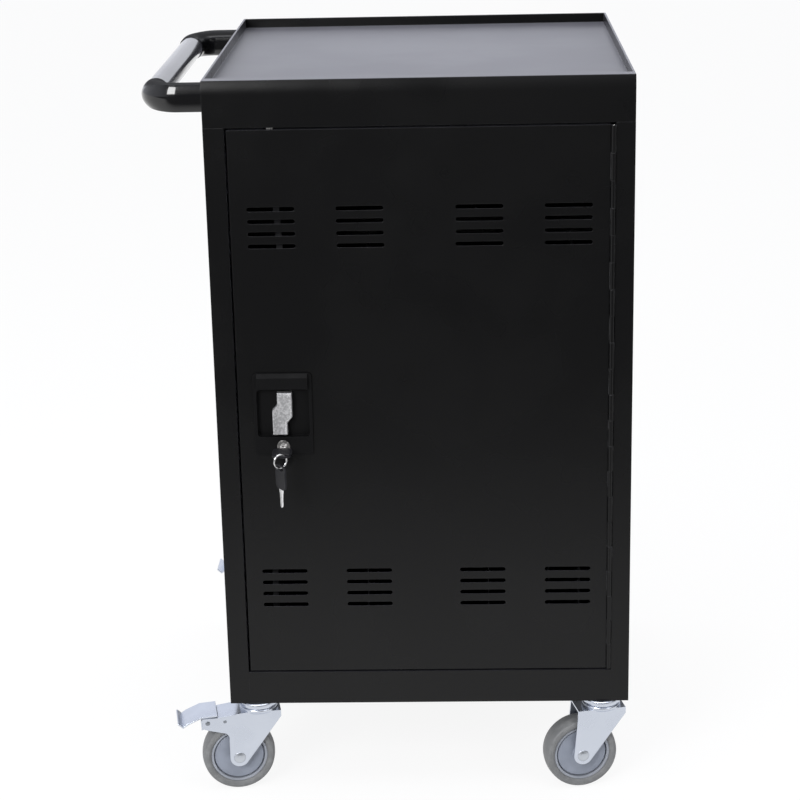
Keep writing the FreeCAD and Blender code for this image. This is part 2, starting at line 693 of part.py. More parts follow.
def spare_key():
    """Second key, hanging from the bottom of the ring across the ring's plane."""
    start, end = KEY_HEAD_LENGTH - KEY_RIM, KEY_HEAD_LENGTH + SPARE_BLADE_LENGTH
    half, tip, t = KEY_BLADE_WIDTH / 2, KEY_TIP_WIDTH / 2, KEY_BLADE_SHEET / 2
    shoulder = end - KEY_BLADE_WIDTH
    steps = [(-half, start), (half, start), (tip, shoulder), (tip, end - tip)]
    steps += [((0, end), (-tip, end - tip)), (-tip, shoulder)]
    key = key_shape(prism(steps, "xy", -t, t))
    key.rotate(V(0, 0, 0), V(1, 0, 0), -90)
    key.rotate(V(0, 0, 0), V(0, 0, 1), RING_TURN + 90)
    key.translate(RING_BOTTOM + V(0, 0, RING_WIRE_R + RING_REST_GAP + KEY_RIM))
    return key


def rear_lock_place():
    """Centre of the rear lock on the rear door: x and z."""
    return DOOR_LEFT + REAR_LOCK_INSET, (DOOR_BOTTOM + DOOR_TOP) / 2


def rear_lock_barrel():
    """Flanged barrel through the rear door."""
    x, z = rear_lock_place()
    back = POST_RETURN + 2 * REAR_CAM_CLEARANCE
    inner = REAR_PLUG_R + RUNNING_GAP
    steps = [
        (inner, -back), (REAR_LOCK_R, -back), (REAR_LOCK_R, 0), (REAR_LOCK_FLANGE_R, 0),
        (REAR_LOCK_FLANGE_R, REAR_LOCK_PROUD / 2), (REAR_LOCK_R, REAR_LOCK_PROUD), (inner, REAR_LOCK_PROUD),
    ]
    return turned(steps, V(x, DEPTH, z), V(0, 1, 0))


def rear_lock_cam():
    """Plug of the rear lock with the cam that reaches behind the post when it is turned."""
    x, z = rear_lock_place()
    front = DEPTH - POST_RETURN - 3 * REAR_CAM_CLEARANCE
    plug = rod(REAR_PLUG_R, V(x, front, z), V(x, DEPTH + REAR_LOCK_PROUD, z))
    w = REAR_CAM_WIDTH
    arm = rounded(x - w / 2, x + w / 2, z - REAR_CAM_LENGTH, z + w / 2, w / 4)
    cam = prism(arm, "xz", front - REAR_CAM_SHEET, front)
    keyway = block(
        (x - KEY_BLADE_SHEET / 2, x + KEY_BLADE_SHEET / 2),
        (DEPTH, DEPTH + REAR_LOCK_PROUD),
        (z - KEY_BLADE_WIDTH / 2, z + KEY_BLADE_WIDTH / 2),
    )
    return joined(plug, cam).cut(keyway)


def shelf(z):
    """Shelf with folded front and rear edges."""
    run = [(RAIL_SETBACK, z - SHELF_FOLD), (RAIL_SETBACK, z), (PARTITION_Y, z), (PARTITION_Y, z - SHELF_FOLD)]
    return prism(folded(run, SHEET), "yz", INNER_LEFT, INNER_RIGHT)


def partition():
    """Upright sheet between the device bays and the wiring bay, with cable slots above each shelf."""
    heights = (BODY_BOTTOM + SHEET, SEAM - PARTITION_ROOM)
    sheet = block((INNER_LEFT, INNER_RIGHT), (PARTITION_Y, PARTITION_Y + SHEET), heights)
    cuts = []
    pitch = (INNER_RIGHT - INNER_LEFT) / CABLE_SLOTS
    for z in (LOWER_SHELF_Z, UPPER_SHELF_Z):
        for i in range(CABLE_SLOTS):
            x = INNER_LEFT + (i + 0.5) * pitch
            slot = obround(x, z + DIVIDER_HEIGHT, CABLE_SLOT_LENGTH, CABLE_SLOT_HEIGHT)
            cuts.append(prism(slot, "xz", PARTITION_Y, PARTITION_Y + SHEET))
    return sheet.cut(cuts)


def slot_dividers():
    """Upright plates that part each shelf into device slots."""
    pitch = (OPEN_RIGHT - OPEN_LEFT) / SLOTS_PER_SHELF
    r = DIVIDER_CORNER
    bend = r * (1 - math.sqrt(0.5))
    plates = []
    for z in (LOWER_SHELF_Z, UPPER_SHELF_Z):
        high = z + DIVIDER_HEIGHT
        corner = ((DIVIDER_FRONT + bend, high - bend), (DIVIDER_FRONT + r, high))
        steps = [(DIVIDER_FRONT, z), (DIVIDER_FRONT, high - r), corner]
        steps += [(DIVIDER_BACK, high), (DIVIDER_BACK, z)]
        for i in range(1, SLOTS_PER_SHELF):
            x = OPEN_LEFT + i * pitch - DIVIDER_SHEET / 2
            hole = V(x, DIVIDER_FRONT + r, z + DIVIDER_HEIGHT / 2)
            plate = prism(steps, "yz", x, x + DIVIDER_SHEET)
            plates.append(plate.cut(rod(DIVIDER_HOLE_R, hole, hole + V(DIVIDER_SHEET, 0, 0))))
    return plates


def power_strip(z):
    """Outlet strip on the rear of the partition: rounded case, outlet recesses and blade slots."""
    front = PARTITION_Y + SHEET
    back = front + STRIP_DEPTH
    middle = (INNER_LEFT + INNER_RIGHT) / 2
    case = block((middle - STRIP_LENGTH / 2, middle + STRIP_LENGTH / 2), (front, back), (z, z + STRIP_HEIGHT))
    rims = [e for e in case.Edges if all(abs(v.Point.y - back) < TOUCH for v in e.Vertexes)]
    case = case.makeChamfer(STRIP_EDGE, rims)
    cuts = []
    pitch = STRIP_LENGTH / OUTLETS
    centre = z + STRIP_HEIGHT / 2
    for i in range(OUTLETS):
        x = middle + (i - (OUTLETS - 1) / 2) * pitch
        w, h = OUTLET_WIDTH / 2, OUTLET_HEIGHT / 2
        cuts.append(block((x - w, x + w), (back - OUTLET_RECESS, back), (centre - h, centre + h)))
        for side in (-1, 1):
            bx = x + side * BLADE_SPACING / 2
            b, c = BLADE_SLOT_WIDTH / 2, BLADE_SLOT_HEIGHT / 2
            cuts.append(block((bx - b, bx + b), (back - BLADE_SLOT_DEPTH, back), (centre - c, centre + c)))
    return case.cut(cuts)


def inlet_outline(inset):
    """Outline of the power inlet in the rear rail."""
    z = (BODY_BOTTOM + OPEN_BOTTOM) / 2
    w, h = INLET_WIDTH / 2 - inset, INLET_HEIGHT / 2 - inset
    return rounded(INLET_X - w, INLET_X + w, z - h, z + h, max(INLET_CORNER - inset, INLET_CORNER / 3))


def power_inlet():
    """Recessed appliance inlet with three flat pins."""
    body = prism(inlet_outline(0), "xz", DEPTH - INLET_DEPTH, DEPTH)
    flange = prism(inlet_outline(-INLET_FLANGE), "xz", DEPTH, DEPTH + INLET_PROUD)
    pocket = prism(inlet_outline(INLET_WALL), "xz", DEPTH - INLET_POCKET, DEPTH + INLET_PROUD)
    z = (BODY_BOTTOM + OPEN_BOTTOM) / 2
    thick, long, high = INLET_PIN
    pins = []
    for i in (-1, 0, 1):
        x = INLET_X + i * INLET_PIN_SPACING
        lift_z = high / 2 if i == 0 else -high / 2
        pins.append(block(
            (x - thick / 2, x + thick / 2), (DEPTH - INLET_POCKET, DEPTH - INLET_POCKET + long),
            (z + lift_z - high / 2, z + lift_z + high / 2),
        ))
    return joined(joined(body, flange).cut(pocket), *pins)


def handle_axis():
    """Middle of the grip tube: x and z."""
    return LEFT - HANDLE_REACH + BRACKET_NOSE_R, TOP - HANDLE_DROP


def handle_bracket(outer, sign):
    """Moulded elbow: an arm whose outer corner is rounded into a collar that is socketed for the tube."""
    x, z = handle_axis()
    root_low, root_high = z - BRACKET_ROOT / 2, z + BRACKET_ROOT / 2
    low = tangent_point((LEFT, root_low), (x, z), BRACKET_NOSE_R, 1)
    high = tangent_point((LEFT, root_high), (x, z), BRACKET_NOSE_R, -1)
    tip = x - BRACKET_NOSE_R
    end = outer + sign * BRACKET_ELBOW
    arm_steps = [(LEFT, root_low), low, ((tip, z), high), (LEFT, root_high)]
    arm = prism(arm_steps, "xz", outer, outer + sign * BRACKET_DEPTH)
    collar = rod(BRACKET_NOSE_R, V(x, outer, z), V(x, end, z))
    r = BRACKET_CORNER
    bend = r * (1 - math.sqrt(0.5))
    plan = [(LEFT, end), (tip, end), (tip, outer + sign * r)]
    plan += [((tip + bend, outer + sign * bend), (tip + r, outer)), (LEFT, outer)]
    elbow = joined(arm, collar).common(prism(plan, "xy", root_low - SHEET, root_high + SHEET))
    return elbow.cut(rod(TUBE_R, V(x, end, z), V(x, end - sign * TUBE_SOCKET, z)))


def handle_tube():
    """Grip tube between the brackets, seated in their sockets."""
    x, z = handle_axis()
    y0 = HANDLE_FRONT + BRACKET_ELBOW - TUBE_SOCKET
    y1 = HANDLE_FRONT + HANDLE_LENGTH - BRACKET_ELBOW + TUBE_SOCKET
    tube = rod(TUBE_R, V(x, y0, z), V(x, y1, z))
    return tube.cut(rod(TUBE_R - TUBE_WALL, V(x, y0, z), V(x, y1, z)))


def caster_places():
    """Swivel axes of the casters: name to x and y."""
    x, y = WIDTH / 2 - CASTER_INSET_X, CASTER_INSET_Y
    back = DEPTH - y
    return {"front_left": (-x, y), "front_right": (x, y), "rear_left": (-x, back), "rear_right": (x, back)}


def corner_arc(r, z, dr, dz):
    """Quarter round in a turned profile that starts at (r, z) and runs by dr and dz: upright at its start."""
    k = math.sqrt(0.5)
    return (r + dr * (1 - k), z + dz * k), (r + dr, z + dz)


def caster_stem():
    """Upper race, kingpin with its riveted head, and the threaded stem that stands through the floor."""
    race_low = BODY_BOTTOM - UPPER_RACE
    head_top = FORK_TOP - FORK_SHEET - RACE_GAP
    e = RACE_EDGE
    middle, end = corner_arc(UPPER_RACE_R, race_low + e, -e, -e)
    steps = [
        (0, head_top - KINGPIN_HEAD), (KINGPIN_HEAD_R, head_top - KINGPIN_HEAD), (KINGPIN_HEAD_R, head_top),
        (KINGPIN_R, head_top), (KINGPIN_R, race_low), end, (middle, (UPPER_RACE_R, race_low + e)),
        (UPPER_RACE_R, BODY_BOTTOM - e), (UPPER_RACE_R - e, BODY_BOTTOM), (KINGPIN_R, BODY_BOTTOM),
        (KINGPIN_R, BODY_BOTTOM + STEM_LENGTH), (0, BODY_BOTTOM + STEM_LENGTH),
    ]
    return turned(steps, V(0, 0, 0), V(0, 0, 1))


def leg_outline(braked):
    """Fork leg in the wheel's plane: broad at the race, round at the axle, with an arm for the brake."""
    axle = (-TRAIL, WHEEL_R)
    crest = (FORK_FRONT, FORK_TOP - CREST_DROP)
    right = tangent_point(crest, axle, FORK_END_R, 1)
    bottom = (axle[0], axle[1] - FORK_END_R)
    if not braked:
        left = tangent_point((-FORK_BACK, FORK_TOP), axle, FORK_END_R, -1)
        return [(FORK_FRONT, FORK_TOP), crest, right, (bottom, left), (-FORK_BACK, FORK_TOP)]
    left = (axle[0] - FORK_END_R, axle[1])
    knee = corner_arc(left[0], ARM_KNEE_LOW - ARM_KNEE_DROP, -ARM_KNEE - left[0], ARM_KNEE_DROP)
    return [
        (FORK_FRONT, FORK_TOP), crest, right, (bottom, left), (left[0], ARM_KNEE_LOW - ARM_KNEE_DROP), knee,
        (-ARM_HEEL, ARM_HEEL_LOW), (-ARM_REACH, ARM_TIP_LOW), (-ARM_REACH, ARM_TOP), (-ARM_WEB_END, ARM_TOP),
        (-ARM_START, FORK_TOP),
    ]


def caster_fork(braked):
    """Stamped fork: two legs and the web between them, with the lower race on top and a brake arm."""
    steps = leg_outline(braked)
    legs = [prism(steps, "xz", side, side + FORK_SHEET) for side in (-FORK_OUTSIDE, FORK_INSIDE)]
    run = [(-ARM_WEB_END, ARM_TOP), (-ARM_START, FORK_TOP)] if braked else [(-FORK_BACK, FORK_TOP)]
    run.append((FORK_FRONT, FORK_TOP))
    web = prism(folded(run, FORK_SHEET), "xz", -FORK_OUTSIDE, FORK_OUTSIDE)
    high = BODY_BOTTOM - UPPER_RACE - RACE_GAP
    e = RACE_EDGE
    low = FORK_TOP - FORK_SHEET
    rim = (LOWER_RACE_R, high - e)
    profile = [(0, low), (LOWER_RACE_R - e, low), (LOWER_RACE_R, FORK_TOP), rim]
    profile += [corner_arc(*rim, -e, e), (0, high)]
    race = turned(profile, V(0, 0, 0), V(0, 0, 1))
    holes = [
        rod(KINGPIN_R + RUNNING_GAP, V(0, 0, FORK_TOP - 2 * FORK_SHEET), V(0, 0, BODY_BOTTOM)),
        rod(AXLE_R, V(-TRAIL, -FORK_OUTSIDE, WHEEL_R), V(-TRAIL, FORK_OUTSIDE, WHEEL_R)),
    ]
    if braked:
        x, z = PEDAL_PIVOT_X, PEDAL_PIVOT_Z
        holes.append(rod(PEDAL_PIN_R, V(x, -FORK_OUTSIDE, z), V(x, FORK_OUTSIDE, z)))
    return joined(web, race, *legs).cut(holes)


def headed_pin(x, z, radius, head_r, head):
    """Riveted pin across both fork legs, with a flat head on each side."""
    half = FORK_OUTSIDE
    steps = [
        (0, -half - head), (head_r - head / 2, -half - head), (head_r, -half), (radius, -half),
        (radius, half), (head_r, half), (head_r - head / 2, half + head), (0, half + head),
    ]
    return turned(steps, V(x, 0, z), V(0, 1, 0))


def caster_tyre():
    """Tyre with a slightly crowned tread and round shoulders that step in to the hub."""
    half = TYRE_WIDTH / 2
    edge = WHEEL_R - TREAD_CROWN
    wall = edge - SHOULDER_DEPTH
    flat = half - SHOULDER_WIDTH
    k = math.sqrt(0.5)
    middle = (wall + SHOULDER_DEPTH * k, flat + SHOULDER_WIDTH * k)
    steps = [
        (TYRE_BORE_R, -HUB_RING_HALF), (wall, -half), ((middle[0], -middle[1]), (edge, -flat)),
        ((WHEEL_R, 0), (edge, flat)), (middle, (wall, half)), (TYRE_BORE_R, HUB_RING_HALF),
    ]
    return turned(steps, V(-TRAIL, 0, WHEEL_R), V(0, 1, 0))


def caster_hub():
    """Wheel centre: bored boss, dished web, a groove and a raised ring under the tyre."""
    bore = AXLE_R + RUNNING_GAP
    boss = TYRE_WIDTH / 2 + WHEEL_SIDE_GAP / 2
    groove = HUB_GROOVE_R - HUB_GROOVE
    face = [
        (bore, boss), (HUB_BOSS_R - HUB_BOSS_EDGE, boss), (HUB_BOSS_R, HUB_WEB), (groove, HUB_WEB),
        (groove, HUB_WEB - 2 * HUB_GROOVE), (HUB_GROOVE_R, HUB_WEB - 2 * HUB_GROOVE),
        (HUB_GROOVE_R, HUB_RING_HALF), (TYRE_BORE_R, HUB_RING_HALF),
    ]
    steps = face + [(r, -a) for r, a in reversed(face)]
    return turned(steps, V(-TRAIL, 0, WHEEL_R), V(0, 1, 0))


def brake_pedal():
    """Pedal: a folded tread plate over the fork's arms, two cheeks on the pin and a brake shoe."""
    half, t = PEDAL_WIDTH / 2, PEDAL_SHEET
    run = [
        (-PEDAL_REACH, PEDAL_TIP_TOP), (-PEDAL_VALLEY, PEDAL_VALLEY_TOP), (-PEDAL_SLOPE, PEDAL_SLOPE_TOP),
        (-PEDAL_BEND, PEDAL_BEND_TOP), (-PEDAL_HEEL, PEDAL_HEEL_TOP),
    ]
    plate = prism(folded(run, t), "xz", -half, half)
    x, z = PEDAL_PIVOT_X, PEDAL_PIVOT_Z
    high = PEDAL_BEND_TOP - t / 2
    cheek = [(x + CHEEK_R, high), (x + CHEEK_R, z), ((x, z - CHEEK_R), (x - CHEEK_R, z)), (x - CHEEK_R, high)]
    outer = FORK_INSIDE - CHEEK_GAP
    cheeks = [prism(cheek, "xz", side, side + t) for side in (-outer, outer - t)]
    shoe_steps = [(-SHOE_FRONT, SHOE_TOP), (-SHOE_FRONT, SHOE_FRONT_LOW)]
    shoe_steps += [(-SHOE_BACK, SHOE_BACK_LOW), (-SHOE_BACK, SHOE_TOP)]
    shoe = prism(shoe_steps, "xz", t - outer, outer - t)
    keep_out = rod(WHEEL_R + SHOE_GAP, V(-TRAIL, -WHEEL_R, WHEEL_R), V(-TRAIL, WHEEL_R, WHEEL_R))
    bore = rod(PEDAL_PIN_R + RUNNING_GAP, V(x, -half, z), V(x, half, z))
    return joined(plate, shoe, *cheeks).cut([keep_out, bore])


def caster_nut():
    """Hexagon nut on a caster's stem, above the floor, with two flats square to X."""
    across = NUT_FLATS / math.sqrt(3)
    turns = [math.radians(60 * i + 30) for i in range(6)]
    corners = [(across * math.cos(turn), across * math.sin(turn)) for turn in turns]
    low = BODY_BOTTOM + SHEET
    nut = prism(corners, "xy", low, low + NUT_HEIGHT)
    return nut.cut(rod(KINGPIN_R, V(0, 0, low), V(0, 0, low + NUT_HEIGHT)))


def save_casters():
    """Write every piece of the casters at its place. The front ones have swung round a little."""
    nuts = []
    for corner, (x, y) in caster_places().items():
        braked = corner.endswith("left")
        place = FreeCAD.Placement(V(x, y, 0), FreeCAD.Rotation(V(0, 0, 1), LEAD_TURNS.get(corner, 0)))
        pieces = {
            "stem": caster_stem(),
            "fork": caster_fork(braked),
            "axle": headed_pin(-TRAIL, WHEEL_R, AXLE_R, AXLE_HEAD_R, AXLE_HEAD),
            "tyre": caster_tyre(),
            "hub": caster_hub(),
        }
        if braked:
            pieces["brake_pedal"] = brake_pedal()
            pivot = (PEDAL_PIVOT_X, PEDAL_PIVOT_Z)
            pieces["brake_pin"] = headed_pin(*pivot, PEDAL_PIN_R, PEDAL_PIN_HEAD_R, PEDAL_PIN_HEAD)
        for piece, shape in pieces.items():
            save("%s_caster_%s" % (corner, piece), shape.transformed(place.toMatrix()))
        nuts.append(caster_nut().translated(V(x, y, 0)))
    save("caster_nuts", *nuts)


def save_cabinet():
    """Write the shell, the inside and the push handle."""
    save("left_side", side_panel(-1, LEFT_POST))
    save("right_side", side_panel(1, RIGHT_POST))
    save("base_pan", base_pan())
    save("top_cover", top_cover())
    save("cross_rails", *cross_rails())
    save("partition", partition())
    save("lower_shelf", shelf(LOWER_SHELF_Z))
    save("upper_shelf", shelf(UPPER_SHELF_Z))
    save("slot_dividers", *slot_dividers())
    save("power_strips", *[power_strip(z + STRIP_ABOVE_SHELF) for z in (LOWER_SHELF_Z, UPPER_SHELF_Z)])
    save("power_inlet", power_inlet())
    save("front_handle_bracket", handle_bracket(HANDLE_FRONT, 1))
    save("rear_handle_bracket", handle_bracket(HANDLE_FRONT + HANDLE_LENGTH, -1))
    save("handle_tube", handle_tube())


def save_doors():
    """Write both doors with their hinges and the rear lock."""
    frame_leaf, door_leaf, pin = hinge(-HINGE_PROUD, 1, DOOR_BOTTOM, DOOR_TOP)
    save("front_door", front_door())
    save("front_hinge_frame_leaf", frame_leaf)
    save("front_hinge_door_leaf", door_leaf)
    save("front_hinge_pin", pin)
    sets = []
    for low in (DOOR_BOTTOM + REAR_HINGE_INSET, DOOR_TOP - REAR_HINGE_INSET - REAR_HINGE_HEIGHT):
        sets.append(hinge(DEPTH + HINGE_PROUD, -1, low, low + REAR_HINGE_HEIGHT))
    save("rear_door", rear_door())
    save("rear_hinge_frame_leaves", *[leaves[0] for leaves in sets])
    save("rear_hinge_door_leaves", *[leaves[1] for leaves in sets])
    save("rear_hinge_pins", *[leaves[2] for leaves in sets])
    save("rear_lock_barrel", rear_lock_barrel())
    save("rear_lock_cam", rear_lock_cam())


def save_lock():
    """Write the rod lock, the keys and their ring."""
    upper_pin, lower_pin = cam_pin_places()
    upper = (upper_pin, ROD_TOP_X, DOOR_TOP + ROD_TIP_PROUD)
    lower = (lower_pin, ROD_BOTTOM_X, DOOR_BOTTOM - ROD_TIP_PROUD)
    save("lock_dish", lock_dish())
    save("turn_handle", turn_handle())
    save("lock_cam", lock_cam())
    save("upper_lock_rod", lock_rod(*upper, 1))
    save("lower_lock_rod", lock_rod(*lower, 1))
    save("rod_guides", *rod_guides(*upper), *rod_guides(*lower))
    save("lock_plug", lock_plug())
    save("door_key", door_key())
    save("split_ring", split_ring())
    save("spare_key", spare_key())


os.makedirs("parts", exist_ok=True)
save_cabinet()
save_doors()
save_lock()
save_casters()
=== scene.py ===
"""Looks of the charging cart: its finishes, fine pieces, studio and camera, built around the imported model."""

import json
import logging
import math
from collections.abc import Iterable
from dataclasses import dataclass
from enum import Enum

import bmesh
import bpy
from mathutils import Matrix, Vector


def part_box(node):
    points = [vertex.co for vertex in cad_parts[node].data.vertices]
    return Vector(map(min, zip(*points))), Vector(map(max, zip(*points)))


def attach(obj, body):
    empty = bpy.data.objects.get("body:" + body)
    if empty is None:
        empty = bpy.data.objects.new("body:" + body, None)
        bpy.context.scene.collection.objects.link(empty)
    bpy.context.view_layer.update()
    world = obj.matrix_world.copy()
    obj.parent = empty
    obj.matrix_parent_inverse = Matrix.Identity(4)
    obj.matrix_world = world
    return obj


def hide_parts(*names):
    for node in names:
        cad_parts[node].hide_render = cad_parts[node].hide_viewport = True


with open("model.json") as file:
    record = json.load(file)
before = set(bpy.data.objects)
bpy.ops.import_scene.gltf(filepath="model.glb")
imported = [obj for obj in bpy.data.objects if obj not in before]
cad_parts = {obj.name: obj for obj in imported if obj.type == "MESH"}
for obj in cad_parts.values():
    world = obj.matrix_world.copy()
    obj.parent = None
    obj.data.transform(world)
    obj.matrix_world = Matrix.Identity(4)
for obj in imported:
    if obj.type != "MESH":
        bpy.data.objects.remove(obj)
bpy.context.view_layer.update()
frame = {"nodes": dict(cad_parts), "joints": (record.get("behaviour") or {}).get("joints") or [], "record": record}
LOG = logging.getLogger("charging_cart")
# Sizes of pieces are written in millimetres, those of finishes and of the studio in metres.
MM = 0.001
TINY = 1e-6
SMOOTH_ANGLE = math.radians(32)
FLAT_ANGLE = math.radians(0.4)
ROUND_STEPS = 3
# A turned profile that closes on its axis ends at this radius, in millimetres.
AXIS_RADIUS = 0.02
# A Mix node has other sockets for numbers and vectors. These are the ones for colours.
MIX_FACTOR, MIX_FIRST, MIX_SECOND, MIX_RESULT = 0, 6, 7, 2

Colour = tuple[float, float, float]
Place = tuple[float, float, float]
Span = tuple[float, float]
Points = tuple[tuple[float, float], ...]
Profile = list[tuple[float, float]]

WHITE: Colour = (1.0, 1.0, 1.0)


class Graph:
    """Adds and joins nodes in one node tree."""

    def __init__(self, tree: bpy.types.NodeTree) -> None:
        """Take the tree that the nodes go into."""
        self.tree = tree

    def feed(self, socket: bpy.types.NodeSocket, value: object) -> None:
        """Link another node's output to a socket, or set the socket.

        Args:
            socket: Socket to fill.
            value: Output to link, or a plain value.
        """
        if isinstance(value, bpy.types.NodeSocket):
            self.tree.links.new(value, socket)
        else:
            socket.default_value = value

    def add(self, kind: str, inputs: dict | None = None, **settings: object) -> bpy.types.Node:
        """Add one node.

        Args:
            kind: Node type, without its ShaderNode prefix.
            inputs: Socket name or number to a value, or to another node's output to link.
            settings: Properties of the node.

        Returns:
            The new node.
        """
        node = self.tree.nodes.new("ShaderNode" + kind)
        for name, value in settings.items():
            setattr(node, name, value)
        for key, value in (inputs or {}).items():
            self.feed(node.inputs[key], value)
        return node

    def math(self, operation: str, a: object, b: object = 0.0) -> bpy.types.NodeSocket:
        """Result of a two-sided operation on outputs or numbers."""
        return self.add("Math", {0: a, 1: b}, operation=operation).outputs[0]

    def ramp(
        self, value: object, low: float, high: float, to_low: float = 0.0, to_high: float = 1.0
    ) -> bpy.types.NodeSocket:
        """Smooth step of a value from one span to another.

        Args:
            value: Output or number to map.
            low: Value that gives to_low.
            high: Value that gives to_high.
            to_low: Result at low.
            to_high: Result at high.

        Returns:
            The mapped value's socket.
        """
        inputs = {"Value": value, "From Min": low, "From Max": high, "To Min": to_low, "To Max": to_high}
        return self.add("MapRange", inputs, interpolation_type="SMOOTHSTEP").outputs["Result"]

    def blend(self, factor: object, first: object, second: object) -> bpy.types.NodeSocket:
        """Colour between two colours by a factor."""
        mix = self.add("Mix", {MIX_FACTOR: factor, MIX_FIRST: first, MIX_SECOND: second}, data_type="RGBA")
        return mix.outputs[MIX_RESULT]

    def place(self) -> bpy.types.NodeSocket:
        """Place on the surface, in the frame's own coordinates."""
        return self.add("TexCoord").outputs["Object"]

    def noise(
        self, scale: object, detail: float, over: bpy.types.NodeSocket | None = None, **more: object
    ) -> bpy.types.NodeSocket:
        """Noise over the surface or over other coordinates, with further sockets of the noise by name."""
        inputs = {"Vector": over or self.place(), "Scale": scale, "Detail": detail, **more}
        return self.add("TexNoise", inputs).outputs["Fac"]


def opaque(colour: Colour) -> tuple[float, float, float, float]:
    """Colour with full alpha."""
    return (*colour, 1.0)


class Effect(Enum):
    """Shared surface effects, each one a node group that is built once."""

    PEEL = "Orange Peel"
    WEAR = "Edge Wear"
    # Faces that look up: settled dust, and in the powder coats also a painted reflection of the bright
    # surroundings.
    DUST_AND_REFLECTION = "Dust And Painted Reflection"
    GRAIN = "Moulded Grain"
    PLATING = "Plating Bloom"
    BLAST = "Blasted Pits"
    SCUFF = "Rolling Scuff"
    EDGE = "Rounded Edge"


class EffectLibrary:
    """Builds each shared effect's node group once and hands it out."""

    def __init__(self) -> None:
        """Start with no groups built."""
        self.groups: dict[Effect, bpy.types.NodeTree] = {}

    def get(self, effect: Effect) -> bpy.types.NodeTree:
        """Node group of an effect, built on first use.

        Args:
            effect: Effect that is wanted.

        Returns:
            The effect's node group.
        """
        makers = {
            Effect.PEEL: self.peel,
            Effect.WEAR: self.wear,
            Effect.DUST_AND_REFLECTION: self.dust_and_reflection,
            Effect.GRAIN: self.grain,
            Effect.PLATING: self.plating,
            Effect.BLAST: self.blast,
            Effect.SCUFF: self.scuff,
            Effect.EDGE: self.edge,
        }
        if effect not in self.groups:
            self.groups[effect] = makers[effect]()
        return self.groups[effect]

    def open_group(
        self, effect: Effect, inputs: dict[str, float], outputs: list[str], kind: str = "NodeSocketFloat"
    ) -> tuple[Graph, bpy.types.bpy_prop_collection, bpy.types.bpy_prop_collection]:
        """New group with float inputs.

        Args:
            effect: Effect that the group is for.
            inputs: Input names and their default values.
            outputs: Output names.
            kind: Socket type of the outputs.

        Returns:
            The group's graph, the sockets that it is given and the sockets of its result.
        """
        group = bpy.data.node_groups.new(effect.value, "ShaderNodeTree")
        for name, value in inputs.items():
            socket = group.interface.new_socket(name=name, in_out="INPUT", socket_type="NodeSocketFloat")
            socket.default_value = value
        for name in outputs:
            group.interface.new_socket(name=name, in_out="OUTPUT", socket_type=kind)
        given, result = group.nodes.new("NodeGroupInput"), group.nodes.new("NodeGroupOutput")
        return Graph(group), given.outputs, result.inputs

    def peel(self) -> bpy.types.NodeTree:
        """Orange peel of a baked powder coat, with slow changes of gloss across a panel.

        Returns:
            The effect's node group.
        """
        g, given, result = self.open_group(Effect.PEEL, {"Scale": 700.0}, ["Height", "Cloud"])
        g.feed(result["Height"], g.noise(given["Scale"], 2.0))
        g.feed(result["Cloud"], g.ramp(g.noise(5.5, 3.0, Roughness=0.55), 0.32, 0.68))
        return g.tree

    def wear(self) -> bpy.types.NodeTree:
        """Rubbed edges: where a rounded normal leaves the true one, broken up by noise.

        Returns:
            The effect's node group.
        """
        g, given, result = self.open_group(Effect.WEAR, {"Radius": 0.001, "Break": 60.0}, ["Mask"])
        soft = g.add("Bevel", {"Radius": given["Radius"]}, samples=4).outputs["Normal"]
        true = g.add("NewGeometry").outputs["True Normal"]
        dot = g.add("VectorMath", {0: soft, 1: true}, operation="DOT_PRODUCT").outputs["Value"]
        patches = g.ramp(g.noise(given["Break"], 4.0), 0.42, 0.62)
        g.feed(result["Mask"], g.math("MULTIPLY", g.ramp(dot, 0.995, 0.86), patches))
        return g.tree

    def dust_and_reflection(self) -> bpy.types.NodeTree:
        """Mask of faces that look up, broken by noise: settled dust, which the powder coats also use for a painted
        reflection.

        Returns:
            The effect's node group.
        """
        g, given, result = self.open_group(Effect.DUST_AND_REFLECTION, {"Amount": 0.3, "Scale": 22.0}, ["Mask"])
        up = g.add("SeparateXYZ", {0: g.add("NewGeometry").outputs["Normal"]}).outputs["Z"]
        patches = g.ramp(g.noise(given["Scale"], 6.0), 0.2, 0.8, 0.6, 1.0)
        lying = g.math("MULTIPLY", g.ramp(up, 0.35, 0.95), patches)
        g.feed(result["Mask"], g.math("MULTIPLY", lying, given["Amount"]))
        return g.tree

    def grain(self) -> bpy.types.NodeTree:
        """Etched grain of a moulded plastic.

        Returns:
            The effect's node group.
        """
        g, given, result = self.open_group(Effect.GRAIN, {"Scale": 900.0}, ["Height", "Cloud"])
        cells = g.add("TexVoronoi", {"Vector": g.place(), "Scale": given["Scale"]}, feature="SMOOTH_F1")
        g.feed(result["Height"], cells.outputs["Distance"])
        g.feed(result["Cloud"], g.ramp(g.noise(30.0, 3.0), 0.3, 0.7))
        return g.tree

    def plating(self) -> bpy.types.NodeTree:
        """Milky bloom and faint rolling streaks of bright zinc plate.

        Returns:
            The effect's node group.
        """
        g, given, result = self.open_group(Effect.PLATING, {"Scale": 28.0}, ["Bloom", "Streak"])
        drawn = g.add("Mapping", {"Vector": g.place(), "Scale": (1.0, 1.0, 0.08)}).outputs["Vector"]
        g.feed(result["Bloom"], g.ramp(g.noise(given["Scale"], 4.0, Distortion=0.4), 0.3, 0.7))
        g.feed(result["Streak"], g.noise(420.0, 2.0, over=drawn))
        return g.tree

    def blast(self) -> bpy.types.NodeTree:
        """Sparkling pits of a sand-blasted casting.

        Returns:
            The effect's node group.
        """
        g, given, result = self.open_group(Effect.BLAST, {"Scale": 1300.0}, ["Height", "Spark"])
        g.feed(result["Height"], g.noise(given["Scale"], 3.0, Roughness=0.7))
        g.feed(result["Spark"], g.ramp(g.noise(420.0, 2.0), 0.38, 0.66))
        return g.tree

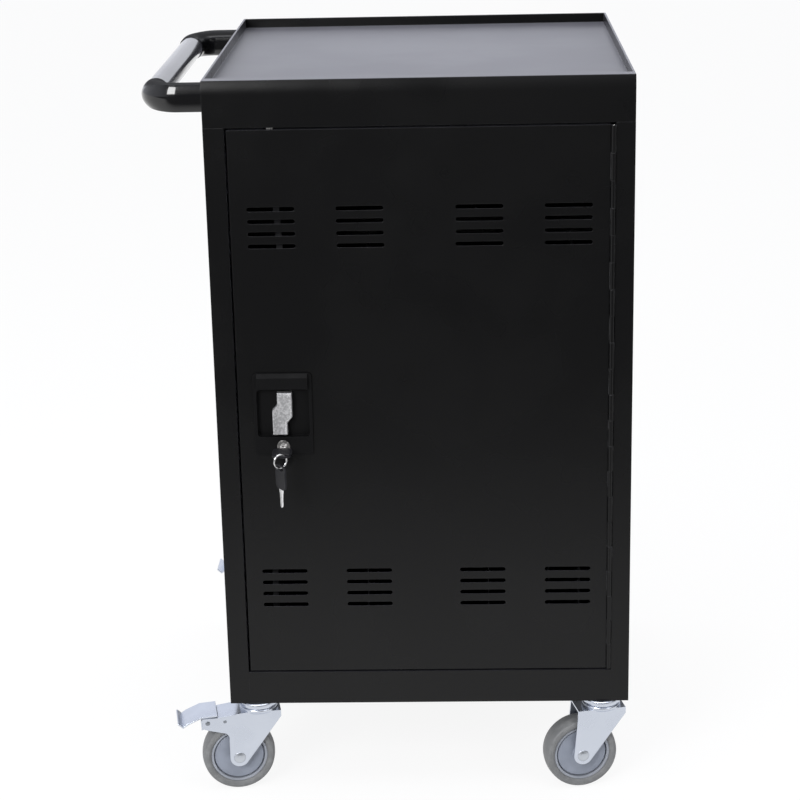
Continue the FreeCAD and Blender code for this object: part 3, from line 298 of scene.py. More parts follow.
    def scuff(self) -> bpy.types.NodeTree:
        """Grey bloom and small scuffs of a wheel that has rolled on floors.

        Returns:
            The effect's node group.
        """
        g, given, result = self.open_group(Effect.SCUFF, {"Scale": 90.0}, ["Mask", "Height"])
        g.feed(result["Mask"], g.ramp(g.noise(given["Scale"], 5.0, Roughness=0.6), 0.4, 0.72))
        g.feed(result["Height"], g.noise(1100.0, 2.0))
        return g.tree

    def edge(self) -> bpy.types.NodeTree:
        """Normal of a surface whose sharp edges are broken by a small radius.

        Returns:
            The effect's node group.
        """
        g, given, result = self.open_group(Effect.EDGE, {"Radius": 0.0006}, ["Normal"], "NodeSocketVector")
        soft = g.add("Bevel", {"Radius": given["Radius"]}, samples=6)
        g.feed(result["Normal"], soft.outputs["Normal"])
        return g.tree


EFFECTS = EffectLibrary()


def open_material(name: str) -> tuple[bpy.types.Material, Graph, bpy.types.Node]:
    """New material with one Principled shader.

    Args:
        name: Material name.

    Returns:
        The material, its graph and its shader node.
    """
    material = bpy.data.materials.new(name)
    material.use_nodes = True
    material.node_tree.nodes.clear()
    graph = Graph(material.node_tree)
    shader = graph.add("BsdfPrincipled")
    graph.add("OutputMaterial", {"Surface": shader.outputs["BSDF"]})
    return material, graph, shader


def place_effect(graph: Graph, effect: Effect, **values: float) -> bpy.types.bpy_prop_collection:
    """Outputs of an effect that is placed in one material with its own values."""
    return graph.add("Group", values, node_tree=EFFECTS.get(effect)).outputs


def set_shader(shader: bpy.types.Node, **values: object) -> None:
    """Set or link sockets of a Principled shader.

    Args:
        shader: Shader node.
        values: Value or output for each socket, named with underscores for spaces.
    """
    graph = Graph(shader.id_data)
    for name, value in values.items():
        graph.feed(shader.inputs[name.replace("_", " ")], value)


def bumped(
    graph: Graph, height: bpy.types.NodeSocket, strength: float, depth: float, edge_radius: float
) -> bpy.types.NodeSocket:
    """Normal of a fine relief on a surface with broken edges.

    Args:
        graph: Material's graph.
        height: Relief of the surface.
        strength: How much of the relief shows.
        depth: Depth of the relief.
        edge_radius: Radius that breaks the sharp edges.

    Returns:
        The normal's socket.
    """
    edge = place_effect(graph, Effect.EDGE, Radius=edge_radius)["Normal"]
    inputs = {"Strength": strength, "Distance": depth, "Height": height, "Normal": edge}
    return graph.add("Bump", inputs).outputs["Normal"]


@dataclass(frozen=True)
class PowderCoat:
    """Baked paint on steel: peel, slow gloss changes, rubbed edges, and dust on faces that look up, lighter and
    bluish there also as a painted reflection.
    """

    name: str
    colour: Colour = (0.0036, 0.0036, 0.0038)
    worn: Colour = (0.020, 0.020, 0.022)
    # Dust on faces that look up, tinted blue: in part a painted reflection of the bright surroundings.
    dust_and_reflection_colour: Colour = (0.20, 0.198, 0.245)
    roughness: Span = (0.24, 0.31)
    peel_scale: float = 700.0
    peel_strength: float = 0.05
    peel_depth: float = 0.0004
    specular: float = 0.25
    coat: float = 0.0
    coat_roughness: float = 0.12
    sheen: float = 0.04
    sheen_roughness: float = 0.25
    sheen_tint: Colour = (0.85, 0.855, 1.0)
    wear: float = 0.6
    wear_radius: float = 0.0009
    # How much dust, and with it painted reflection, lies on faces that look up.
    dust_and_reflection: float = 0.12
    edge_radius: float = 0.0007

    def build(self) -> bpy.types.Material:
        """Build this coat.

        Returns:
            Its material.
        """
        material, g, shader = open_material(self.name)
        peel = place_effect(g, Effect.PEEL, Scale=self.peel_scale)
        rub = place_effect(g, Effect.WEAR, Radius=self.wear_radius)
        dust_and_reflection = place_effect(g, Effect.DUST_AND_REFLECTION, Amount=self.dust_and_reflection)
        worn_or_unshaded = g.math("MULTIPLY", rub["Mask"], self.wear)
        colour = g.blend(worn_or_unshaded, opaque(self.colour), opaque(self.worn))
        # Faces that look up take the dust colour, which also paints a reflection of the surroundings.
        colour = g.blend(dust_and_reflection["Mask"], colour, opaque(self.dust_and_reflection_colour))
        gloss = g.ramp(peel["Cloud"], 0.0, 1.0, *self.roughness)
        normal = bumped(g, peel["Height"], self.peel_strength, self.peel_depth, self.edge_radius)
        set_shader(shader, Base_Color=colour, Roughness=gloss, Normal=normal)
        set_shader(shader, Specular_IOR_Level=self.specular)
        set_shader(shader, Coat_Weight=self.coat, Coat_Roughness=self.coat_roughness)
        set_shader(shader, Sheen_Weight=self.sheen, Sheen_Roughness=self.sheen_roughness)
        set_shader(shader, Sheen_Tint=opaque(self.sheen_tint))
        return material


@dataclass(frozen=True)
class MouldedPlastic:
    """Injection moulding with an etched skin."""

    name: str
    colour: Colour
    roughness: Span
    shade: float = 0.82
    grain_scale: float = 900.0
    grain_strength: float = 0.08
    grain_depth: float = 0.0003
    specular: float = 0.5
    worn: Colour = (0.06, 0.06, 0.062)
    wear: float = 0.4
    wear_radius: float = 0.0007
    wear_break: float = 140.0
    edge_radius: float = 0.0006

    def build(self) -> bpy.types.Material:
        """Build this plastic.

        Returns:
            Its material.
        """
        material, g, shader = open_material(self.name)
        grain = place_effect(g, Effect.GRAIN, Scale=self.grain_scale)
        rub = place_effect(g, Effect.WEAR, Radius=self.wear_radius, Break=self.wear_break)
        worn_or_unshaded = g.math("MULTIPLY", rub["Mask"], self.wear)
        shaded = tuple(self.shade * c for c in self.colour)
        base = g.blend(grain["Cloud"], opaque(self.colour), opaque(shaded))
        colour = g.blend(worn_or_unshaded, base, opaque(self.worn))
        gloss = g.ramp(grain["Cloud"], 0.0, 1.0, *self.roughness)
        normal = bumped(g, grain["Height"], self.grain_strength, self.grain_depth, self.edge_radius)
        set_shader(shader, Base_Color=colour, Roughness=gloss, Normal=normal, Specular_IOR_Level=self.specular)
        return material


@dataclass(frozen=True)
class PolishedPlastic:
    """Black moulding with polished faces and a satin top."""

    name: str
    colour: Colour = (0.003, 0.003, 0.0036)
    satin: Colour = (0.006, 0.006, 0.0068)
    roughness: Span = (0.19, 0.75)
    rough_from: float = 0.8
    coat_until: float = 0.5
    coat_roughness: float = 0.03
    satin_scale: float = 35.0
    specular: float = 0.16
    grain_strength: float = 0.006
    grain_depth: float = 0.0003
    edge_radius: float = 0.0006

    def build(self) -> bpy.types.Material:
        """Build this moulding.

        Returns:
            Its material.
        """
        material, g, shader = open_material(self.name)
        grain = place_effect(g, Effect.GRAIN)
        top = place_effect(g, Effect.DUST_AND_REFLECTION, Amount=1.0, Scale=self.satin_scale)["Mask"]
        normal = bumped(g, grain["Height"], self.grain_strength, self.grain_depth, self.edge_radius)
        colour = g.blend(top, opaque(self.colour), opaque(self.satin))
        gloss = g.ramp(top, 0.0, self.rough_from, *self.roughness)
        polish = g.ramp(top, 0.0, self.coat_until, 1.0, 0.0)
        set_shader(shader, Base_Color=colour, Roughness=gloss, Normal=normal, Coat_Weight=polish)
        set_shader(shader, Specular_IOR_Level=self.specular, Coat_Roughness=self.coat_roughness)
        return material


@dataclass(frozen=True)
class PlatedSteel:
    """Pressed or turned steel with a bright plate."""

    name: str
    colour: Colour
    bloom: Colour
    roughness: Span
    streak_strength: float = 0.04
    streak_depth: float = 0.0002
    edge_radius: float = 0.0006

    def build(self) -> bpy.types.Material:
        """Build this plated steel.

        Returns:
            Its material.
        """
        material, g, shader = open_material(self.name)
        plate = place_effect(g, Effect.PLATING)
        colour = g.blend(plate["Bloom"], opaque(self.colour), opaque(self.bloom))
        gloss = g.ramp(plate["Bloom"], 0.0, 1.0, *self.roughness)
        normal = bumped(g, plate["Streak"], self.streak_strength, self.streak_depth, self.edge_radius)
        set_shader(shader, Base_Color=colour, Roughness=gloss, Normal=normal, Metallic=1.0)
        return material


@dataclass(frozen=True)
class ShadedRodSteel:
    """Lock rods of bright steel, painted near black as the shade inside the cabinet, but for their ends, which
    show the steel's own colour.
    """

    name: str
    # Near black: painted shade for rods that lie in the dark inside the cabinet.
    colour: Colour = (0.045, 0.045, 0.048)
    bare: Colour = (0.90, 0.88, 0.84)
    # Heights at rest where the painted shade ends and where the steel shows its own colour.
    top_end: Span = (0.880, 0.892)
    low_end: Span = (0.216, 0.204)
    roughness: Span = (0.30, 0.40)
    # Extra roughness of the part of the rod that is painted as shade.
    shade_roughness: float = 0.08
    streak_strength: float = 0.04
    streak_depth: float = 0.0002
    edge_radius: float = 0.0006

    def build(self) -> bpy.types.Material:
        """Build the rods' finish.

        Returns:
            Its material.
        """
        material, g, shader = open_material(self.name)
        plate = place_effect(g, Effect.PLATING)
        height = g.add("SeparateXYZ", {0: g.place()}).outputs["Z"]
        # Mask of the ends, outside the painted shade; elsewhere the rod takes the near-black shade colour.
        worn_or_unshaded = g.math("MAXIMUM", g.ramp(height, *self.top_end), g.ramp(height, *self.low_end))
        colour = g.blend(worn_or_unshaded, opaque(self.colour), opaque(self.bare))
        even = g.ramp(plate["Bloom"], 0.0, 1.0, *self.roughness)
        gloss = g.math("ADD", even, g.ramp(worn_or_unshaded, 0.0, 1.0, self.shade_roughness, 0.0))
        normal = bumped(g, plate["Streak"], self.streak_strength, self.streak_depth, self.edge_radius)
        set_shader(shader, Base_Color=colour, Roughness=gloss, Normal=normal, Metallic=1.0)
        return material


@dataclass(frozen=True)
class BlastedZinc:
    """Die-cast zinc with a blasted, sparkling skin."""

    name: str
    colour: Colour = (0.42, 0.42, 0.43)
    spark: Colour = (0.66, 0.66, 0.67)
    polished: Colour = (0.95, 0.95, 0.95)
    roughness: Span = (0.46, 0.24)
    metallic: float = 0.85
    wear_radius: float = 0.0012
    wear_break: float = 90.0
    pit_strength: float = 0.35
    pit_depth: float = 0.0004
    edge_radius: float = 0.0005

    def build(self) -> bpy.types.Material:
        """Build the casting's finish.

        Returns:
            Its material.
        """
        material, g, shader = open_material(self.name)
        pits = place_effect(g, Effect.BLAST)
        rub = place_effect(g, Effect.WEAR, Radius=self.wear_radius, Break=self.wear_break)
        colour = g.blend(pits["Spark"], opaque(self.colour), opaque(self.spark))
        colour = g.blend(rub["Mask"], colour, opaque(self.polished))
        gloss = g.ramp(rub["Mask"], 0.0, 1.0, *self.roughness)
        normal = bumped(g, pits["Height"], self.pit_strength, self.pit_depth, self.edge_radius)
        set_shader(shader, Base_Color=colour, Roughness=gloss, Normal=normal, Metallic=self.metallic)
        return material


@dataclass(frozen=True)
class WheelRubber:
    """Grey thermoplastic rubber, matt, with a pale bloom where it has rolled."""

    name: str
    colour: Colour = (0.150, 0.153, 0.155)
    bloom: Colour = (0.195, 0.198, 0.198)
    roughness: Span = (0.48, 0.66)
    specular: float = 0.4
    scuff_strength: float = 0.12
    scuff_depth: float = 0.0003
    edge_radius: float = 0.0004

    def build(self) -> bpy.types.Material:
        """Build the rubber.

        Returns:
            Its material.
        """
        material, g, shader = open_material(self.name)
        scuff = place_effect(g, Effect.SCUFF)
        colour = g.blend(scuff["Mask"], opaque(self.colour), opaque(self.bloom))
        gloss = g.ramp(scuff["Mask"], 0.0, 1.0, *self.roughness)
        normal = bumped(g, scuff["Height"], self.scuff_strength, self.scuff_depth, self.edge_radius)
        set_shader(shader, Base_Color=colour, Roughness=gloss, Normal=normal, Specular_IOR_Level=self.specular)
        return material


class Finishes:
    """Every finish of the cart, by its slot in the record, and the finer ones of single pieces."""

    def __init__(self) -> None:
        """Build all materials."""
        specs = {
            "body_paint": PowderCoat("body_powder_coat"),
            "divider": PowderCoat("divider_powder_coat", colour=(0.03, 0.03, 0.032)),
            "hinge_steel": PowderCoat("hinge_powder_coat", wear=0.9, worn=(0.05, 0.05, 0.052)),
            "tube_paint": PowderCoat(
                "tube_enamel", roughness=(0.16, 0.24), peel_strength=0.02,
                dust_and_reflection=0.05, specular=0.6, sheen=0.14, coat=0.7,
            ),
            "bracket": PolishedPlastic("bracket_moulding"),
            "dish": MouldedPlastic(
                "dish_moulding", (0.0050, 0.0050, 0.0053), (0.42, 0.50), specular=0.08, wear=0.1
            ),
            "strip": MouldedPlastic("strip_moulding", (0.03, 0.03, 0.031), (0.4, 0.5)),
            "key_head": MouldedPlastic(
                "key_head_moulding", (0.010, 0.010, 0.012), (0.35, 0.45),
                specular=0.2, wear=0.9, worn=(0.14, 0.14, 0.15),
            ),
            "hub": MouldedPlastic("hub_moulding", (0.245, 0.270, 0.325), (0.42, 0.55), worn=(0.3, 0.31, 0.33)),
            "tyre": WheelRubber("tyre_rubber"),
            "grip_zinc": BlastedZinc("blasted_zinc"),
            "plated_steel": PlatedSteel("zinc_plate", (0.60, 0.64, 0.72), (0.65, 0.69, 0.77), (0.27, 0.33)),
            "bright_steel": PlatedSteel("nickel_plate", (0.78, 0.78, 0.79), (0.70, 0.70, 0.71), (0.10, 0.18)),
            # Rods painted near black as the shade inside the cabinet, with bright steel ends.
            "rod_steel": ShadedRodSteel("rod_painted_shade"),
        }
        self.materials = {slot: spec.build() for slot, spec in specs.items()}
        rim = MouldedPlastic("rim_moulding", (0.30, 0.32, 0.36), (0.38, 0.5), worn=(0.4, 0.41, 0.43))
        self.rim = rim.build()
        # Copy of the body paint for the tray's level faces, with strong sheen and more dust: in part a painted
        # reflection of the bright surroundings.
        self.tray_reflection_coat = PowderCoat(
            "tray_powder_coat_with_painted_reflection", sheen=0.46, dust_and_reflection=0.14, roughness=(0.29, 0.33), peel_strength=0.02
        ).build()
        # Darker plate for the brake pins and the arm rivets: painted shade of the small dents at these spots.
        self.pin = PlatedSteel("pin_plate_painted_shade", (0.26, 0.28, 0.31), (0.32, 0.34, 0.37), (0.30, 0.40)).build()
        self.axle = PlatedSteel("axle_plate", (0.52, 0.55, 0.60), (0.58, 0.61, 0.66), (0.34, 0.38)).build()
        self.plug = PlatedSteel("plug_plate", (0.36, 0.35, 0.34), (0.46, 0.45, 0.44), (0.24, 0.34)).build()

    def dress_nodes(self) -> None:
        """Give every CAD node the finish of its slot."""
        for entry in frame["record"]["subparts"]:
            node = frame["nodes"][entry["node"]]
            node.data.materials.clear()
            node.data.materials.append(self.materials[entry["material_slot"]])
            LOG.info("node %s: %s", entry["node"], entry["material_slot"])
        frame["nodes"]["lock_plug"].data.materials[0] = self.plug


def body_of(node: str) -> str:
    """Body that carries a CAD node."""
    return next(name for name, nodes in frame["record"]["behaviour"]["bodies"].items() if node in nodes)


def joint_named(name: str) -> dict:
    """Joint of the record by its name."""
    return next(joint for joint in frame["joints"] if joint["name"] == name)


def turns_round(count: int) -> list[float]:
    """Angles of points that are spread evenly round a circle."""
    return [2 * math.pi * i / count for i in range(count)]


def mesh_from(name: str, shape: bmesh.types.BMesh) -> bpy.types.Mesh:
    """Mesh with smooth faces that meet at sharp edges only past a set angle.

    Args:
        name: Mesh name.
        shape: Shape of the mesh, which is used up.

    Returns:
        The mesh.
    """
    mesh = bpy.data.meshes.new(name)
    shape.to_mesh(mesh)
    shape.free()
    mesh.shade_smooth()
    mesh.set_sharp_from_angle(angle=SMOOTH_ANGLE)
    return mesh


def skin(name: str, *runs: list[list[Vector]], looped: bool = False) -> bpy.types.Mesh:
    """Closed mesh through runs of loops with equal counts of points.

    Args:
        name: Mesh name.
        runs: For each closed skin, its loops of points, one after another.
        looped: Whether the last loop of a run joins the first. Else both ends are capped.

    Returns:
        The mesh, smooth but for its sharp edges.
    """
    shape = bmesh.new()
    for loops in runs:
        rows = [[shape.verts.new(point) for point in loop] for loop in loops]
        pairs = list(zip(rows, rows[1:]))
        if looped:
            pairs.append((rows[-1], rows[0]))
        for first, second in pairs:
            for i in range(len(first)):
                j = (i + 1) % len(first)
                shape.faces.new((first[i], first[j], second[j], second[i]))
        if not looped:
            shape.faces.new(rows[0][::-1])
            shape.faces.new(rows[-1])
    bmesh.ops.recalc_face_normals(shape, faces=shape.faces)
    return mesh_from(name, shape)


def lathe(
    name: str, profile: Profile, centre: Vector, axis: Vector, looped: bool = False, count: int = 72
) -> bpy.types.Mesh:
    """Turned mesh about an axis.

    Args:
        name: Mesh name.
        profile: Radius and distance along the axis of each point, in millimetres.
        centre: Point on the axis that distances are taken from.
        axis: Direction of the axis.
        looped: Whether the profile closes on itself. Else its ends are capped.
        count: Points round the axis.

    Returns:
        The turned mesh.
    """
    axis = axis.normalized()
    side = axis.orthogonal().normalized()
    other = axis.cross(side)
    ways = [side * math.cos(turn) + other * math.sin(turn) for turn in turns_round(count)]
    loops = [[centre + axis * along * MM + way * radius * MM for way in ways] for radius, along in profile]
    return skin(name, loops, looped=looped)


def mirrored(half: Profile) -> Profile:
    """Profile with its own mirror image across distance zero, joined into one run."""
    return half + [(radius, -along) for radius, along in reversed(half)]


def open_copy(node: str) -> bmesh.types.BMesh:
    """Copy of a CAD node's mesh with its doubled points and flat seams joined.

    Args:
        node: CAD node to copy.

    Returns:
        The copied shape.
    """
    shape = bmesh.new()
    shape.from_mesh(frame["nodes"][node].data)
    bmesh.ops.remove_doubles(shape, verts=shape.verts, dist=TINY)
    bmesh.ops.dissolve_limit(shape, angle_limit=FLAT_ANGLE, verts=shape.verts, edges=shape.edges)
    return shape


def softened(name: str, shape: bmesh.types.BMesh, width: float) -> bpy.types.Mesh:
    """Mesh of a shape with its sharp edges rounded.

    Args:
        name: Mesh name.
        shape: Shape to round, which is used up.
        width: Width of the rounding, in millimetres.

    Returns:
        The rounded mesh.
    """
    sharp = [e for e in shape.edges if len(e.link_faces) == 2 and e.calc_face_angle() > SMOOTH_ANGLE]
    bmesh.ops.bevel(
        shape, geom=sharp, offset=width * MM, offset_type="OFFSET", segments=ROUND_STEPS, profile=0.5,
        affect="EDGES", clamp_overlap=True,
    )
    bmesh.ops.triangulate(shape, faces=[f for f in shape.faces if len(f.verts) > 4])
    return mesh_from(name, shape)


def add_piece(
    mesh: bpy.types.Mesh, body: str, finish: bpy.types.Material, stands_for: Iterable[str] = ()
) -> None:
    """Put a mesh in the scene as a piece of the cart.

    Args:
        mesh: Mesh in the cart's frame. The piece takes its name.
        body: Body that the piece rides on.
        finish: Material.
        stands_for: CAD nodes that it replaces.
    """
    piece = bpy.data.objects.new(mesh.name, mesh)
    mesh.materials.append(finish)
    bpy.context.collection.objects.link(piece)
    even = piece.modifiers.new("even_normals", "WEIGHTED_NORMAL")
    even.keep_sharp = True
    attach(piece, body)
    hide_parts(*stands_for)
    LOG.info("piece %s rides on %s", piece.name, body)


@dataclass
class TopCover:
    """Tray with its lips: broken edges, and on the faces that look up a lit copy of the paint, with strong sheen
    and more dust, that paints a reflection in part.
    """

    finishes: Finishes
    node: str = "top_cover"
    edge: float = 0.5
    level: float = 0.9

    def build(self) -> None:
        """Build the cover and give its level faces the tray's lit copy of the paint, in part a painted reflection.
        """
        mesh = softened("top_cover_sheet", open_copy(self.node), self.edge)
        add_piece(mesh, body_of(self.node), self.finishes.materials["body_paint"], [self.node])
        mesh.materials.append(self.finishes.tray_reflection_coat)
        for face in mesh.polygons:
            face.material_index = int(face.normal.z > self.level)


@dataclass
class PushHandle:
    """Two moulded elbows on the left side, and the collars in which the grip tube sits."""

    finishes: Finishes
    collar_radius: float = 17.5
    half_depth: float = 17.0
    half_height: float = 17.5
    crown_radius: float = 40.0
    back_power: float = 3.0
    arm_shares: tuple[float, ...] = (0.0, 0.35, 0.7)
    bend_radius: float = 33.0
    bend_steps: int = 24
    collar_shares: tuple[float, ...] = (0.5, 1.0)
    lip: float = 9.0
    # Distance along the tube and scale of the section. The round counts back from the lip's end,
    # and the seam counts from the lip's start.
    lip_round: Points = ((1.2, 1.0), (0.0, 0.93))
    lip_seam: Points = ((0.6, 0.97), (1.4, 0.97), (2.0, 1.0))
    count: int = 60

    def path(self, node: str) -> tuple[list[tuple[Vector, Vector, float]], int]:
        """Middle line of an elbow.

        Args:
            node: CAD node of the elbow.

        Returns:
            Points with their sideways direction and share of the way to the collar, and the sign along Y.
        """
        low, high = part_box(node)
        sign = 1 if node.startswith("front") else -1
        outer, end = (low.y, high.y) if sign > 0 else (high.y, low.y)
        axis_x = low.x + self.collar_radius * MM
        level = (low.z + high.z) / 2
        arm_y = outer + sign * self.half_depth * MM
        r = self.bend_radius * MM
        start = arm_y + sign * r
        points = []
        for share in self.arm_shares:
            x = high.x + (axis_x + r - high.x) * share
            points.append((Vector((x, arm_y, level)), Vector((0, -sign, 0)), 0.0))
        centre = Vector((axis_x + r, start, level))
        for i in range(self.bend_steps + 1):
            turn = math.pi / 2 * i / self.bend_steps
            way = Vector((-math.sin(turn), -sign * math.cos(turn), 0))
            points.append((centre + way * r, way, i / self.bend_steps))
        for share in self.collar_shares:
            y = start + (end - sign * self.lip * MM - start) * share
            points.append((Vector((axis_x, y, level)), Vector((-1, 0, 0)), 1.0))
        return points, sign

    def turns(self) -> list[float]:
        """Angles of a section's points.

        Returns:
            Angles from -pi up, with one on each crease of the crowned face.
        """
        drop = self.crown_radius - math.sqrt(self.crown_radius**2 - self.half_height**2)
        crease = math.atan2(self.half_height, self.half_depth - drop)
        even = [turn - math.pi for turn in turns_round(self.count)]
        return sorted(even + [crease, -crease])

    def section(self, middle: Vector, side: Vector, share: float) -> list[Vector]:
        """Loop round the elbow: a crowned face and a rounded back at the arm, which turn round at the collar.

        Args:
            middle: Point on the middle line.
            side: Direction that the crowned face looks in.
            share: Share of the way from the arm to the collar.

        Returns:
            The loop's points.
        """
        blend = share * share * (3 - 2 * share)
        offset = self.half_depth - self.crown_radius
        power = self.back_power
        loop = []
        for turn in self.turns():
            c, s = math.cos(turn), math.sin(turn)
            if c > 0:
                reach = offset * c + math.sqrt(self.crown_radius**2 - (offset * s) ** 2)
                reach = min(reach, self.half_height / max(abs(s), TINY))
            else:
                deep, tall = abs(c / self.half_depth), abs(s / self.half_height)
                reach = (deep**power + tall**power) ** (-1 / power)
            reach += (self.collar_radius - reach) * blend
            loop.append(middle + (side * c + Vector((0, 0, s))) * reach * MM)
        return loop

    def build(self) -> None:
        """Build both elbows. A seam runs round the front one's lip."""
        for node in ("front_handle_bracket", "rear_handle_bracket"):
            points, sign = self.path(node)
            loops = [self.section(*point) for point in points]
            middle, last = points[-1][0], loops[-1]
            lip = [(self.lip - short, scale) for short, scale in self.lip_round]
            if sign > 0:
                lip = [*self.lip_seam, *lip]
            for along, scale in lip:
                centre = middle + Vector((0, sign * along * MM, 0))
                loops.append([centre + (point - middle) * scale for point in last])
            mesh = skin(node.replace("bracket", "elbow"), loops)
            add_piece(mesh, body_of(node), self.finishes.materials["bracket"], [node])


@dataclass
class TurnGrip:
    """Cast turn handle with a shallow chamfer round its face."""

    finishes: Finishes
    node: str = "turn_handle"
    chamfer: float = 2.2
    chamfer_drop: float = 0.9
    edge: float = 0.4
    facing: float = 0.99
    flatness: float = 0.01

    def build(self) -> None:
        """Build the casting."""
        shape = open_copy(self.node)
        front = min(vert.co.y for vert in shape.verts) + self.flatness * MM
        face = [f for f in shape.faces if f.normal.y < -self.facing and f.calc_center_median().y < front]
        rim = {vert for f in face for vert in f.verts}
        bmesh.ops.inset_region(shape, faces=face, thickness=self.chamfer * MM, use_even_offset=True)
        for vert in rim:
            vert.co.y += self.chamfer_drop * MM
        mesh = softened("turn_handle_casting", shape, self.edge)
        add_piece(mesh, body_of(self.node), self.finishes.materials["grip_zinc"], [self.node])


@dataclass
class KeySet:
    """Key in the lock, split ring and spare key."""

    finishes: Finishes
    head_width: float = 25.0
    head_length: float = 33.5
    head_sheet: float = 3.0
    head_corner: float = 7.0
    slot_length: float = 17.0
    slot_width: float = 5.0
    rim: float = 2.4
    edge: float = 0.7
    edge_knee: float = 0.3
    blade_width: float = 8.0
    blade_sheet: float = 2.0
    blade_tip: float = 3.6
    blade_corner: float = 1.0
    groove: float = 0.5
    groove_top: float = 0.35
    groove_floor: float = 0.25
    key_blade: float = 16.0
    spare_blade: float = 25.0
    # Distance from the head, and share of the blade's or of the tip's half width.
    spare_neck: Points = ((2.0, 1.0), (7.0, 0.72))
    spare_bits: Points = ((13.0, 1.2), (16.0, 1.15), (19.0, 1.35))
    spare_point: float = 0.35
    ring_radius: float = 9.1
    ring_wind: float = 0.985
    ring_steps: int = 144
    step_rate: float = 24.0
    step_rise: float = 1.05
    wire_wide: float = 0.86
    wire_thick: float = 0.43
    wire_sides: int = 8
    halvings: int = 40
    count: int = 72

    def reach(self, start: Vector, turn: float, middle: Vector, half: Vector, corner: float) -> Vector:
        """Point where a ray from inside meets a rounded rectangle.

        Args:
            start: Where the ray starts.
            turn: Angle of the ray.
            middle: Middle of the rectangle.
            half: Half of its width and length.
            corner: Radius of its corners.

        Returns:
            The point on the outline.
        """
        way = Vector((math.cos(turn), math.sin(turn)))
        near, far = 0.0, 2 * (half.x + half.y)
        for _ in range(self.halvings):
            trial = (near + far) / 2
            p = start + way * trial - middle
            q = Vector((max(abs(p.x) - half.x + corner, 0), max(abs(p.y) - half.y + corner, 0)))
            near, far = (trial, far) if q.length < corner else (near, trial)
        return start + way * near

    def head(self, name: str, place: Matrix) -> bpy.types.Mesh:
        """Moulded head with a ring slot and rounded rims, drawn flat from its ring end along +Y.

        Args:
            name: Mesh name.
            place: Where the drawn head goes.

        Returns:
            The head's mesh.
        """
        slot_middle = Vector((0, self.rim + self.slot_width / 2))
        slot_half = Vector((self.slot_length / 2, self.slot_width / 2))
        middle = Vector((0, self.head_length / 2))
        half = Vector((self.head_width / 2, self.head_length / 2))
        e, t = self.edge, self.head_sheet / 2
        rings = [(0, -t + e), (0, t - e), (e * self.edge_knee, t - e * self.edge_knee), (e, t)]
        runs = []
        for inset, level in rings:
            runs.append((slot_half + Vector((inset, inset)), self.slot_width / 2 + inset, slot_middle, level))
        for inset, level in reversed(rings):
            runs.append((half - Vector((inset, inset)), self.head_corner - inset, middle, level))
        lower = [(size, corner, centre, -level) for size, corner, centre, level in reversed(runs)]
        loops = []
        for size, corner, centre, level in runs[1:-1] + lower[1:-1]:
            points = [self.reach(slot_middle, turn, centre, size, corner) for turn in turns_round(self.count)]
            loops.append([place @ Vector((p.x, p.y, level)) for p in points])
        return skin(name, loops, looped=True)

    def blade(self, name: str, length: float, tapered: bool, place: Matrix) -> bpy.types.Mesh:
        """Steel blade with a milled groove on each face, from inside the head along +Y.

        Args:
            name: Mesh name.
            length: How far the blade stands out of the head.
            tapered: Whether the blade is drawn in to its bits, as the spare's is.
            place: Where the drawn blade goes.

        Returns:
            The blade's mesh.
        """
        root = self.head_length
        end = root + length
        wide, tip, t = self.blade_width / 2, self.blade_tip / 2, self.blade_sheet / 2
        stations = [(root - self.rim, wide)]
        if tapered:
            stations += [(root + along, wide * share) for along, share in self.spare_neck]
            stations += [(root + along, tip * share) for along, share in self.spare_bits]
            stations += [(end - tip, tip), (end, tip * self.spare_point)]
        else:
            stations += [(end - self.blade_corner, wide), (end, wide - self.blade_corner)]
        loops = []
        for along, w in stations:
            floor = t - min(self.groove, w / 3)
            top, low = w * self.groove_top, w * self.groove_floor
            face = [(w, t), (top, t), (low, floor), (-low, floor), (-top, t), (-w, t)]
            points = [(w, -t), *face, *((x, -z) for x, z in reversed(face[1:]))]
            loops.append([place @ Vector((x, along, z)) for x, z in points])
        return skin(name, loops)

    def ring(self) -> bpy.types.Mesh:
        """Split ring: two turns of flat wire with a step where one turn passes to the other.

        Returns:
            The ring's mesh.
        """
        low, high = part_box("split_ring")
        centre = (low + high) / 2
        normal = Vector(joint_named("ring_swing")["axis"]).normalized()
        side = normal.orthogonal().normalized()
        other = normal.cross(side)
        section = [(math.cos(turn), math.sin(turn)) for turn in turns_round(self.wire_sides)]
        wide, thick = self.wire_wide, self.wire_thick
        loops = []
        for i in range(self.ring_steps + 1):
            share = i / self.ring_steps
            turn = 4 * math.pi * share * self.ring_wind
            shift = max(-1.0, min(1.0, (share - 0.5) * self.step_rate)) * thick * self.step_rise
            way = side * math.cos(turn) + other * math.sin(turn)
            middle = centre + way * self.ring_radius * MM + normal * shift * MM
            loops.append([middle + (way * a * wide + normal * b * thick) * MM for a, b in section])
        return skin("split_ring_wire", loops)

    def build(self) -> None:
        """Build the keys and the ring."""
        scale = Matrix.Scale(MM, 4)
        low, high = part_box("door_key")
        flat = Matrix.Translation(((low.x + high.x) / 2, low.y, (low.z + high.z) / 2)) @ scale
        swing = Vector(joint_named("spare_key_swing")["axis"])
        lean = math.degrees(math.atan2(swing.y, swing.x))
        low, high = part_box("spare_key")
        middle = (low + high) / 2
        hang = (
            Matrix.Translation((middle.x, middle.y, high.z))
            @ Matrix.Rotation(math.radians(lean + 90), 4, "Z")
            @ Matrix.Rotation(math.radians(-90), 4, "X")
            @ scale
        )
        plastic, steel = self.finishes.materials["key_head"], self.finishes.materials["bright_steel"]
        for node, place, length, tapered in (
            ("door_key", flat, self.key_blade, False),
            ("spare_key", hang, self.spare_blade, True),
        ):
            add_piece(self.head(node + "_head", place), body_of(node), plastic, [node])
            blade = self.blade(node + "_blade", length, tapered, place)
            add_piece(blade, body_of(node), steel, [node])
        add_piece(self.ring(), body_of("split_ring"), steel, ["split_ring"])


